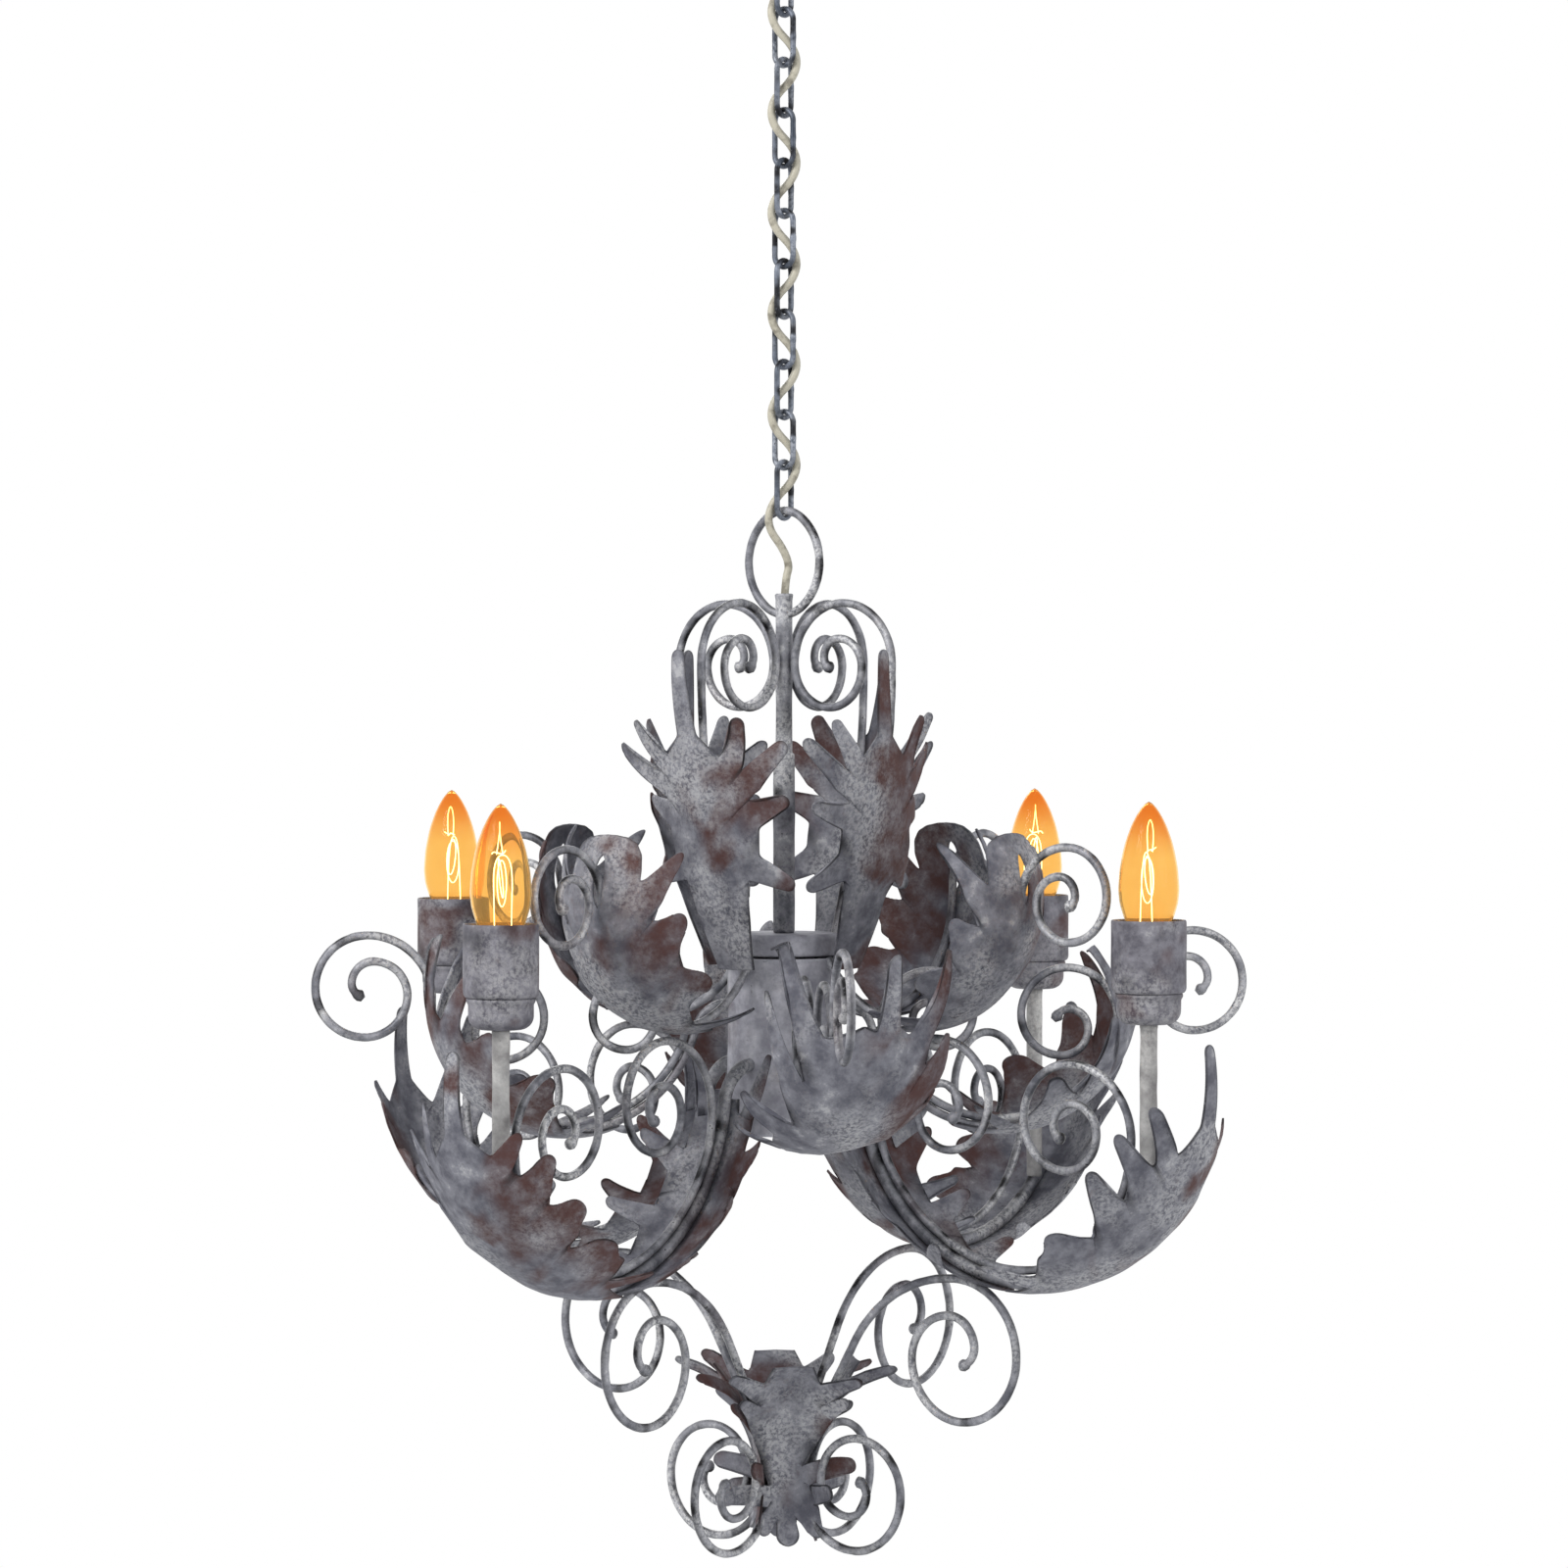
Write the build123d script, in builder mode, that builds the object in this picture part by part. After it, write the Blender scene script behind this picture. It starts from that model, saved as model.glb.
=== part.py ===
"""Iron chandelier on a chain: four candle arms, four scroll arms, acanthus leaves and a foot of scrolls.

Millimetres, +Z up. The origin is the centre of the ceiling plate's top face, so the lamp hangs at negative z.
Candle arms lie along +X, +Y, -X and -Y, and scroll arms on the diagonals between them.
"""
import os
from math import acos, atan2, cos, degrees, hypot, radians, sin, sqrt

from build123d import *

# Fits
SEAT_GAP = 0.25
RUN_GAP = 0.3
SOCKET_CLEARANCE = 0.3

# Ceiling fitting
PLATE_D = 70.0
PLATE_T = 3.0
PLATE_EDGE = 1.2
SCREW_HOLE_D = 4.5
SCREW_SPACING = 50.0
HOOK_BAR = 5.0
HOOK_R = 11.0
HOOK_DROP = 40.0
HOOK_ENTRY = 115.0
HOOK_OPEN_AT = 365.0
GRIP_D = 14.0
GRIP_L = 16.0
GRIP_SHOULDER = 2.3
GRIP_OFFSET = 16.0
FLEX_D = 4.8
FLEX_STRAIGHT = 2.0

# Flex through the chain: a point at each joint of the links, further out at the first and the last
WEAVE = 7.6
WEAVE_BEND = 12.0
WEAVE_END = (1.16, 1.3)
FLEX_GRIP_BEND = 6.0
FLEX_FIRST_BEND = 10.0
FLEX_TUBE_BEND = 14.0
FLEX_ABOVE_TUBE = 14.0
FLEX_IN_TUBE = 24.0

# Chain
LINK_WIRE = 3.4
LINK_WIDTH = 17.0
LINK_PITCH = 30.0
LINK_COUNT = 11

# Hanging ring and stem of the lamp
RING_BAR = 5.0
RING_WIDTH = 58.0
RING_HEIGHT = 67.0
RING_END_R = 22.0
TUBE_D = 10.0
TUBE_BORE = 7.0
TUBE_TOP = 52.0
TUBE_PROUD = 3.0
SLEEVE_D = 13.0
SLEEVE_TOP = 148.0

# Body: levels are measured down from the top of the hanging ring
CAN_D = 68.0
CAN_WALL = 1.5
LID_D = 66.0
LID_TOP = 255.0
LID_H = 14.0
LID_T = 2.0
CAN_BOTTOM = 375.0
RIM_H = 12.0
RIM_PROUD = 1.5
NUT_AF = 17.0
NUT_T = 5.0
BLOCK_L = 34.0
BLOCK_W = 20.0
BLOCK_H = 16.0
BLOCK_POLES = 3
BLOCK_HOLE_D = 5.0

# Bars and sheet
BAR = 5.0
ARM_TUBE = 8.0
LEAF_T = 1.2
LEAF_SPAN = 0.96
ARMS = 4
STEP = 360 / ARMS

# Upper scroll: a long lean arc, a half turn over the top and a spiral
UPPER_R = 80.0
UPPER_LEVEL = 94.0
UPPER_BEND = 467.0
UPPER_FOOT = 22.7
UPPER_OVER = 36.0
UPPER_SPIRAL = (26, 24, 17, 11, 7)
UPPER_LEAF_ANGLES = (-UPPER_FOOT, 1.4)
UPPER_LEAF_CUP = 110.0
UPPER_LEAF_BASE = (0, 13)
UPPER_LEAF_TOP = (190, 4.5)
UPPER_FINGERS = [
    (64, 27, 54, 48, 18, 9),
    (96, 31, 102, 53, 18, 8),
    (116, 35, 134, 57, 15, 8),
    (128, 26, 149, 37, 15, 8),
]

# Middle scroll: a U under the leaf and a spiral that turns outwards
MID_R = 98.0
MID_LEVEL = 232.0
MID_BEND = 75.0
MID_SPIRAL = (32, 28, 27, 22, 16, 11, 7)
MID_CANDLE_GAP = 9.0
MID_LEAF_ANGLES = (-98, 33)
MID_LEAF_CUP = 55.0
MID_LEAF_BASE = (0, 12)
MID_SLOT_UP = 13.0
MID_SLOT_L = 28.0
MID_SLOT_GAP = 1.0
MID_LEAF_TOP = (148, 26)
MID_FINGERS = [
    (30, 22, 24, 34, 16, 8),
    (68, 34, 70, 52, 18, 8),
    (104, 38, 110, 44, 26, 12),
    (132, 32, 137, 37, 20, 10),
]
MID_LEFT_FINGERS = [
    (30, 22, 22, 36, 14, 7),
    (68, 34, 72, 54, 18, 8),
    (98, 37, 108, 48, 22, 9),
    (130, 37, 140, 46, 20, 8),
]

# Candle arm
ARM_R = 178.0
ARM_LEVEL = 332.0
ARM_BEND = 122.0
ARM_ROOT = 190.0
CANDLE_R = 262.0
ARM_PAST_CANDLE = 6.5
LYRE_CLEARANCE = 4.43
LYRE_SPLIT = 258.0
LYRE_OUT_SPIRAL = (42, 33, 29, 22, 17, 13, 8)
LYRE_IN_AT = 211.3
LYRE_IN_BEND = 65.3
LYRE_IN_SPIRAL = (44, 36, 29, 22, 17, 13, 8)
OUTER_LEAF_ANGLES = (-91, 14)
OUTER_LEAF_CUP = 62.0
OUTER_LEAF_BASE = (0, 16)
OUTER_LEAF_TOP = (218, 4.5)
OUTER_FINGERS = [
    (36, 32, 26, 46, 16, 7),
    (64, 42, 66, 50, 22, 9),
    (102, 48, 107, 57, 24, 10),
    (132, 45, 142, 53, 20, 9),
    (152, 28, 164, 36, 16, 8),
]
OUTER_LEFT_FINGERS = [
    (36, 32, 26, 46, 16, 7),
    (76, 42, 80, 56, 22, 8),
    (112, 45, 131, 64, 18, 8),
    (138, 41, 163, 63, 16, 8),
    (152, 26, 185, 45, 15, 8),
]
INNER_LEAF_ANGLES = (176, 266)
INNER_LEAF_CUP = 50.0
INNER_LEAF_BASE = (28, 7)
INNER_LEAF_TOP = (188, 8)
INNER_FINGERS = [
    (42, 15, 10, 22, 14, 7),
    (72, 26, 64, 46, 18, 7),
    (112, 28, 108, 48, 18, 7),
    (152, 24, 148, 42, 16, 7),
]

# Scroll arm on the diagonals
SIDE_R = 131.0
SIDE_LEVEL = 293.0
SIDE_BEND = 80.0
SIDE_ROOT = 194.0
SIDE_SPIRAL = (38, 31, 29.5, 25, 20, 13, 8)
SIDE_LYRE_SPREAD = 70.0
SIDE_LYRE_OUT = (31, 28, 25, 16, 12, 8)
SIDE_LYRE_IN = (30, 26, 20, 17, 10, 7)
SIDE_LEAF_ANGLES = (-110, 15)
SIDE_LEAF_CUP = 60.0
SIDE_LEAF_BASE = (0, 14)
SIDE_LEAF_TOP = (154, 0)
SIDE_FINGERS = [
    (34, 28, 26, 44, 16, 8),
    (72, 48, 76, 66, 28, 10),
    (108, 47, 119, 65, 26, 10),
    (136, 36, 157, 51, 20, 10),
    (150, 14, 183, 18, 14, 8),
]
SIDE_LEFT_FINGERS = [
    (34, 26, 24, 42, 14, 6),
    (70, 42, 74, 62, 24, 9),
    (104, 42, 120, 58, 20, 8),
    (132, 36, 153, 57, 16, 8),
    (150, 14, 184, 18, 14, 8),
]

# Foot scroll
FOOT_TOP_R = 126.0
FOOT_OVER = 84.5
FOOT_OVER_TURN = 60.0
FOOT_RUN = 55.0
FOOT_BEND = 80.0
FOOT_LOOP = (44, 40, 35, 27, 18, 11)
FOOT_SPIRAL = (37, 35, 32, 27, 20, 14, 8)
FOOT_LEAF_BEND = 105.0
FOOT_LEAF_GAP = 0.35
FOOT_LEAF_ANGLES = (127, 209)
FOOT_LEAF_CUP = 60.0
FOOT_LEAF_BASE = (22, 8)
FOOT_LEAF_TOP = (128, 3)
FOOT_FINGERS = [
    (32, 18, 10, 28, 16, 8),
    (48, 21, 30, 38, 10, 7),
    (66, 12, 58, 20.5, 10, 5),
]

# Candles
STEM_D = 10.0
STEM_L = 120.5
DOME_D = 37.0
DOME_H = 18.0
DOME_EDGE = 8.0
SHELL_D = 43.0
SHELL_H = 42.0
SHELL_WALL = 1.2
SOCKET_D = 27.0
SOCKET_H = 30.0
CAP_D = 14.0
CAP_H = 22.0
CAP_TAPER = 2.8
BULB_D = 35.0
BULB_H = 78.0
BULB_SHOULDER = (14.6, 12.0)
BULB_WIDEST = 28.0
BULB_WAIST = (13.2, 56.0)
GLASS_T = 0.8
FILAMENT_D = 0.7
FILAMENT_H = 46.0
FILAMENT_W = 11.0
FILAMENT_DIP = 27.6

# Chain levels follow from the hook downwards
HOOK_Z = -HOOK_DROP
LINK_HALF = (LINK_PITCH + RUN_GAP + LINK_WIRE) / 2
LINK_R = (LINK_WIDTH - LINK_WIRE) / 2
FIRST_LINK_Z = HOOK_Z + (HOOK_BAR + LINK_WIRE) / 2 + RUN_GAP - LINK_HALF
LINK_Z = [FIRST_LINK_Z - LINK_PITCH * index for index in range(LINK_COUNT)]
RING_TOP = LINK_Z[-1] - LINK_HALF + LINK_WIRE / 2 + RUN_GAP + RING_BAR
CAN_R = CAN_D / 2


def level(drop):
    """Height of a point a drop below the top of the hanging ring."""
    return RING_TOP - drop


def on_circle(r, drop, radius, angle):
    """Point (r, z) on a circle about (r, level(drop)), angle in degrees from straight out."""
    return r + radius * cos(radians(angle)), level(drop) + radius * sin(radians(angle))


def quarters(radii, sign):
    """Quarter turns of the given radii, anticlockwise for sign +1."""
    return [(radius, 90 * sign) for radius in radii]


def bent_bar(start, heading, moves, diameter):
    """Round bar in the XZ plane: each move is (radius, turn in degrees) or (length, 0) for a straight."""
    with BuildPart() as bar:
        with BuildLine(Plane.XZ) as path:
            point = Vector(start[0], 0, start[1])
            direction = Vector(cos(radians(heading)), 0, sin(radians(heading)))
            for size, turn in moves:
                if turn == 0:
                    piece = Line(point, point + direction * size)
                else:
                    piece = JernArc(start=point, tangent=direction, radius=size, arc_size=turn)
                point = piece @ 1
                direction = piece % 1
        with BuildSketch(Plane(origin=path.line @ 0, z_dir=path.line % 0)):
            Circle(diameter / 2)
        sweep()
    return bar.part


def finger_points(finger):
    """Corners and apex of a leaf finger given as root s, t, tip s, t, root width and tip width."""
    root_s, root_t, tip_s, tip_t, root_w, tip_w = finger
    length = hypot(tip_s - root_s, tip_t - root_t)
    along_s = (tip_s - root_s) / length
    along_t = (tip_t - root_t) / length
    low = (root_s - along_t * root_w / 2, root_t + along_s * root_w / 2)
    tip_low = (tip_s - along_t * tip_w / 2, tip_t + along_s * tip_w / 2)
    apex = (tip_s + along_s * tip_w / 2, tip_t + along_t * tip_w / 2)
    tip_high = (tip_s + along_t * tip_w / 2, tip_t - along_s * tip_w / 2)
    high = (root_s + along_t * root_w / 2, root_t - along_s * root_w / 2)
    return low, tip_low, apex, tip_high, high


def leaf(axis_at, spine_r, angles, cup_r, base, fingers, top, left_fingers=None, slot=None):
    """Cupped sheet leaf: a torus shell about axis_at, cut to a fingered outline seen from its middle.

    s runs along the spine from the first angle, t across it. The fingers are given for t > 0, and are
    mirrored where the left side has none of its own. base and top are (s, half width) at its two ends: base
    is cut straight, and top is a round tip, or a notch where its half width is 0. slot is (s, length, width)
    of a hole on the spine for a bar to pass through.
    """
    base_angle, tip_angle = angles
    middle = (base_angle + tip_angle) / 2
    start = radians(base_angle)
    centre = (axis_at[0], 0, axis_at[1])
    half_width = cup_r * LEAF_SPAN
    sag = cup_r - sqrt(cup_r**2 - half_width**2)
    outer_scale = (cup_r + LEAF_T) / cup_r
    outer_half = half_width * outer_scale
    outer_rise = spine_r + LEAF_T - sag * outer_scale

    def flat(point):
        s, t = point
        return cup_r * sin(t / cup_r), spine_r * sin(s / spine_r + radians(base_angle - middle))

    top_s, top_half = top
    base_s, base_half = base
    sides = {1: fingers, -1: left_fingers or fingers}
    edges = []
    for side, row in sides.items():
        last = base
        runs = []
        for finger in row:
            low, tip_low, apex, tip_high, high = finger_points(finger)
            runs += [(last, low), (low, tip_low), (tip_low, apex, tip_high), (tip_high, high)]
            last = high
        runs.append((last, (top_s, top_half)))
        edges += [[flat((s, side * t)) for s, t in run] for run in runs]

    with BuildPart() as sheet:
        with BuildSketch(Plane(centre, x_dir=(0, 1, 0), z_dir=(sin(start), 0, -cos(start)))):
            with BuildLine():
                inner = ThreePointArc(
                    (-half_width, spine_r - sag), (0, spine_r), (half_width, spine_r - sag)
                )
                outer = ThreePointArc(
                    (-outer_half, outer_rise), (0, spine_r + LEAF_T), (outer_half, outer_rise)
                )
                Line(inner @ 0, outer @ 0)
                Line(inner @ 1, outer @ 1)
            make_face()
        revolve(axis=Axis(centre, (0, -1, 0)), revolution_arc=tip_angle - base_angle)
        facing = (cos(radians(middle)), 0, sin(radians(middle)))
        with BuildSketch(Plane(centre, x_dir=(0, 1, 0), z_dir=facing)):
            with BuildLine():
                Line(flat((base_s, -base_half)), flat((base_s, base_half)))
                for points in edges:
                    if len(points) == 2:
                        Line(*points)
                    else:
                        ThreePointArc(*points)
                if top_half > 0:
                    apex = flat((top_s + top_half, 0))
                    ThreePointArc(flat((top_s, top_half)), apex, flat((top_s, -top_half)))
            make_face()
            if slot:
                slot_s, slot_length, slot_width = slot
                with Locations(flat((slot_s, 0))):
                    SlotOverall(slot_length, slot_width, rotation=90, mode=Mode.SUBTRACT)
        extrude(amount=spine_r * 2, mode=Mode.INTERSECT)
    return sheet.part


def ring_of(shape, label, turn=0):
    """Copies of a shape made in the XZ plane, one for each arm, as separate solids of one node."""
    with BuildPart() as group:
        with PolarLocations(0, ARMS, start_angle=turn):
            add(shape)
    save(group.part, label)


def each_of(shape, label, turn=0):
    """Copies of a shape made in the XZ plane, one node for each arm."""
    for index in range(ARMS):
        with BuildPart() as single:
            add(shape, rotation=(0, 0, turn + STEP * index))
        save(single.part, f"{label}_{index + 1}")


def save(part, label):
    """Label a finished piece and write it."""
    part.label = label
    export_step(part, f"parts/{label}.step")


os.makedirs("parts", exist_ok=True)

# Ceiling plate
with BuildPart() as ceiling_plate:
    with BuildSketch(Plane.XY):
        Circle(PLATE_D / 2)
        with Locations((GRIP_OFFSET, GRIP_OFFSET)):
            Circle(FLEX_D / 2 + SEAT_GAP, mode=Mode.SUBTRACT)
    extrude(amount=-PLATE_T)
    fillet(ceiling_plate.edges().group_by(Axis.Z)[0].sort_by(SortBy.LENGTH)[-1], PLATE_EDGE)
    with GridLocations(SCREW_SPACING, 0, 2, 1):
        Hole(SCREW_HOLE_D / 2)
save(ceiling_plate.part, "ceiling_plate")

# Ceiling hook: shank, a reverse bend and an open circle under the plate's centre
hook_turn = 180 + 90 - (HOOK_ENTRY + 90)
hook_neck = -HOOK_R * cos(radians(HOOK_ENTRY)) / (1 - cos(radians(hook_turn)))
hook_entry_z = HOOK_Z + HOOK_R + HOOK_R * sin(radians(HOOK_ENTRY))
hook_shank = -PLATE_T - (hook_entry_z + hook_neck * sin(radians(hook_turn)))
hook_moves = [(hook_shank, 0), (hook_neck, -hook_turn), (HOOK_R, HOOK_OPEN_AT - HOOK_ENTRY)]
save(bent_bar((0, -PLATE_T), 270, hook_moves, HOOK_BAR), "ceiling_hook")

# Cord grip: a collar with a round shoulder, where the flex comes through the plate
with BuildPart() as cord_grip:
    with BuildSketch(Plane.XY.offset(-PLATE_T)):
        with Locations((GRIP_OFFSET, GRIP_OFFSET)):
            Circle(GRIP_D / 2)
            Circle(FLEX_D / 2 + SEAT_GAP, mode=Mode.SUBTRACT)
    extrude(amount=-GRIP_L)
    fillet(cord_grip.edges().group_by(Axis.Z)[0].sort_by(SortBy.LENGTH)[-1], GRIP_SHOULDER)
save(cord_grip.part, "cord_grip")

# Chain: odd links stand in the YZ plane, even links in the XZ plane
straight_half = LINK_HALF - LINK_R
for index, link_z in enumerate(LINK_Z):
    with BuildPart() as chain_link:
        face = Plane.YZ if index % 2 == 0 else Plane.XZ
        with BuildLine(Plane(origin=(0, 0, link_z), x_dir=face.x_dir, z_dir=face.z_dir)) as loop:
            right = Line((LINK_R, -straight_half), (LINK_R, straight_half))
            JernArc(start=right @ 1, tangent=right % 1, radius=LINK_R, arc_size=180)
            Line((-LINK_R, straight_half), (-LINK_R, -straight_half))
            JernArc(start=(-LINK_R, -straight_half), tangent=(0, 0, -1), radius=LINK_R, arc_size=180)
        with BuildSketch(Plane(origin=right @ 0.5, z_dir=right % 0.5)):
            Circle(LINK_WIRE / 2)
        sweep()
    save(chain_link.part, f"chain_link_{index + 1:02d}")

# Flex: woven corner to corner through the links, then down into the tube
joint_z = [HOOK_Z + (HOOK_BAR - LINK_WIRE) / 2 + RUN_GAP / 2]
joint_z += [link_z - LINK_HALF + (LINK_WIRE + RUN_GAP) / 2 for link_z in LINK_Z]
flex_route = [(GRIP_OFFSET, GRIP_OFFSET, 0), (GRIP_OFFSET, GRIP_OFFSET, -PLATE_T - GRIP_L - FLEX_STRAIGHT)]
for index, z in enumerate(joint_z):
    stretch_x, stretch_y = WEAVE_END if index in (0, LINK_COUNT) else (1, 1)
    across = WEAVE / sqrt(2) * (-1) ** index
    flex_route.append((across * stretch_x, across * stretch_y, z))
flex_route += [(0, 0, level(TUBE_TOP - FLEX_ABOVE_TUBE)), (0, 0, level(TUBE_TOP + FLEX_IN_TUBE))]
flex_bends = [FLEX_GRIP_BEND, FLEX_FIRST_BEND] + [WEAVE_BEND] * LINK_COUNT + [FLEX_TUBE_BEND]
with BuildPart() as flex_cable:
    with BuildLine() as route:
        FilletPolyline(*flex_route, radius=flex_bends)
    with BuildSketch(Plane(origin=route.line @ 0, z_dir=route.line % 0)):
        Circle(FLEX_D / 2)
    sweep()
save(flex_cable.part, "flex_cable")

# Hanging ring: an oval of four tangent arcs, cut where its ends meet the tube
oval_a = (RING_WIDTH - RING_BAR) / 2
oval_b = (RING_HEIGHT - RING_BAR) / 2
oval_r = (oval_a**2 + (oval_b - RING_END_R) ** 2 - RING_END_R**2) / (2 * (oval_a - RING_END_R))
oval_turn = degrees(atan2(oval_r - oval_a, oval_b - RING_END_R))
ring_moves = [
    (RING_END_R, oval_turn),
    (oval_r, 180 - 2 * oval_turn),
    (RING_END_R, 2 * oval_turn),
    (oval_r, 180 - 2 * oval_turn),
    (RING_END_R, oval_turn),
]
oval_bar = bent_bar((0, level(RING_HEIGHT - RING_BAR / 2)), 0, ring_moves, RING_BAR)
with BuildPart() as hanging_ring:
    add(oval_bar)
    with BuildSketch(Plane.XY.offset(level(RING_HEIGHT + RING_BAR))):
        Circle(TUBE_D / 2 + SEAT_GAP)
    extrude(amount=RING_BAR * 4, mode=Mode.SUBTRACT)
save(hanging_ring.part, "hanging_ring")

# Tube from the ring into the body, and the sleeve over its lower half
tube_bottom = LID_TOP + LID_T + NUT_T + TUBE_PROUD
with BuildPart() as hanging_tube:
    with BuildSketch(Plane.XY.offset(level(tube_bottom))):
        Circle(TUBE_D / 2)
        Circle(TUBE_BORE / 2, mode=Mode.SUBTRACT)
    extrude(amount=tube_bottom - TUBE_TOP)
save(hanging_tube.part, "hanging_tube")
with BuildPart() as tube_sleeve:
    with BuildSketch(Plane.XY.offset(level(LID_TOP))):
        Circle(SLEEVE_D / 2)
        Circle(TUBE_D / 2 + SEAT_GAP / 2, mode=Mode.SUBTRACT)
    extrude(amount=LID_TOP - SLEEVE_TOP)
save(tube_sleeve.part, "tube_sleeve")

# Body: lid, can with a rolled base rim, base, and what holds and feeds the tube inside
can_top = LID_TOP + LID_H
with BuildPart() as body_lid:
    with BuildSketch(Plane.XZ):
        with BuildLine():
            Polyline(
                (TUBE_D / 2 + SEAT_GAP / 2, level(LID_TOP)),
                (LID_D / 2 - LID_T, level(LID_TOP)),
                (LID_D / 2, level(LID_TOP + LID_T)),
                (LID_D / 2, level(can_top)),
                (LID_D / 2 - LID_T, level(can_top)),
                (LID_D / 2 - LID_T, level(LID_TOP + LID_T)),
                (TUBE_D / 2 + SEAT_GAP / 2, level(LID_TOP + LID_T)),
                close=True,
            )
        make_face()
    revolve(axis=Axis.Z)
save(body_lid.part, "body_lid")
with BuildPart() as body_can:
    with BuildSketch(Plane.XY.offset(level(CAN_BOTTOM))):
        Circle(CAN_R)
    extrude(amount=CAN_BOTTOM - can_top)
    with BuildSketch(Plane.XY.offset(level(CAN_BOTTOM))):
        Circle(CAN_R + RIM_PROUD)
    extrude(amount=RIM_H)
    with BuildSketch(Plane.XY.offset(level(CAN_BOTTOM))):
        Circle(CAN_R - CAN_WALL)
    extrude(amount=CAN_BOTTOM - can_top, mode=Mode.SUBTRACT)
save(body_can.part, "body_can")
with BuildPart() as body_base:
    with BuildSketch(Plane.XY.offset(level(CAN_BOTTOM))):
        Circle(CAN_R - CAN_WALL - SEAT_GAP)
    extrude(amount=LID_T)
save(body_base.part, "body_base")
with BuildPart() as tube_locknut:
    with BuildSketch(Plane.XY.offset(level(LID_TOP + LID_T))):
        RegularPolygon(NUT_AF / 2, 6, major_radius=False)
        Circle(TUBE_D / 2 + SEAT_GAP / 2, mode=Mode.SUBTRACT)
    extrude(amount=-NUT_T)
save(tube_locknut.part, "tube_locknut")
with BuildPart() as terminal_block:
    with BuildSketch(Plane.XY.offset(level(CAN_BOTTOM - LID_T))):
        Rectangle(BLOCK_L, BLOCK_W)
    extrude(amount=BLOCK_H)
    with BuildSketch(Plane.XZ.offset(BLOCK_W / 2)):
        with Locations((0, level(CAN_BOTTOM - LID_T - BLOCK_H / 2))):
            with GridLocations(BLOCK_L / BLOCK_POLES, 0, BLOCK_POLES, 1):
                Circle(BLOCK_HOLE_D / 2)
    extrude(amount=-BLOCK_W, mode=Mode.SUBTRACT)
save(terminal_block.part, "terminal_block")

# Room kept clear of the bars: the can with its rim, for the coped ends of the arms
with BuildPart() as can_room:
    with BuildSketch(Plane.XY.offset(level(CAN_BOTTOM + RIM_H))):
        Circle(CAN_R + SEAT_GAP)
    extrude(amount=CAN_BOTTOM + RIM_H - can_top + LID_H)


def coped(bar):
    """The bar with its end cut to the can's wall."""
    with BuildPart() as cut:
        add(bar)
        add(can_room.part, mode=Mode.SUBTRACT)
    return cut.part


# Upper scrolls and leaves
upper_start = on_circle(UPPER_R - UPPER_BEND, UPPER_LEVEL, UPPER_BEND, -UPPER_FOOT)
upper_moves = [(UPPER_BEND, UPPER_FOOT), (UPPER_OVER, 180)] + quarters(UPPER_SPIRAL, 1)
ring_of(bent_bar(upper_start, 90 - UPPER_FOOT, upper_moves, BAR), "upper_scrolls")
upper_leaf = leaf(
    (UPPER_R - UPPER_BEND, level(UPPER_LEVEL)),
    UPPER_BEND + BAR / 2 + SEAT_GAP,
    UPPER_LEAF_ANGLES,
    UPPER_LEAF_CUP,
    UPPER_LEAF_BASE,
    UPPER_FINGERS,
    UPPER_LEAF_TOP,
)
ring_of(upper_leaf, "upper_leaves")

# Middle scrolls and leaves
mid_reach = degrees(atan2(sqrt(MID_BEND**2 - (MID_R - CAN_R + CAN_WALL) ** 2), MID_R - CAN_R + CAN_WALL))
mid_start = on_circle(MID_R, MID_LEVEL, MID_BEND, 180 + mid_reach)
mid_room = CANDLE_R - BULB_D / 2 - MID_CANDLE_GAP - BAR / 2 - MID_R - MID_BEND
mid_spread = mid_room / (MID_SPIRAL[0] + MID_SPIRAL[1])
mid_spiral = [radius * mid_spread for radius in MID_SPIRAL]
mid_moves = [(MID_BEND, 180 - mid_reach)] + quarters(mid_spiral, -1)
ring_of(coped(bent_bar(mid_start, 270 + mid_reach, mid_moves, BAR)), "mid_scrolls")
mid_leaf_s = radians(-MID_LEAF_ANGLES[0]) * (MID_BEND + BAR / 2 + SEAT_GAP)
mid_slot = (mid_leaf_s + MID_SLOT_UP, MID_SLOT_L, BAR + 2 * MID_SLOT_GAP)
mid_leaf = leaf(
    (MID_R, level(MID_LEVEL)),
    MID_BEND + BAR / 2 + SEAT_GAP,
    MID_LEAF_ANGLES,
    MID_LEAF_CUP,
    MID_LEAF_BASE,
    MID_FINGERS,
    MID_LEAF_TOP,
    MID_LEFT_FINGERS,
    mid_slot,
)
ring_of(mid_leaf, "mid_leaves")

# Candle arms: a tube from the can's wall, round below and up under the candle
arm_root = on_circle(ARM_R, ARM_LEVEL, ARM_BEND, ARM_ROOT)
arm_turn = 270 - ARM_ROOT
elbow = (arm_root[0] - CAN_R + CAN_WALL) / sin(radians(arm_turn))
arm_start = (CAN_R - CAN_WALL, arm_root[1] + elbow * (1 - cos(radians(arm_turn))))
candle_at = degrees(acos((CANDLE_R - ARM_R) / ARM_BEND))
arm_moves = [(elbow, -arm_turn), (ARM_BEND, 360 - candle_at + ARM_PAST_CANDLE - ARM_ROOT)]
arm_bar = bent_bar(arm_start, 0, arm_moves, ARM_TUBE)
each_of(coped(arm_bar), "candle_arm")

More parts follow.
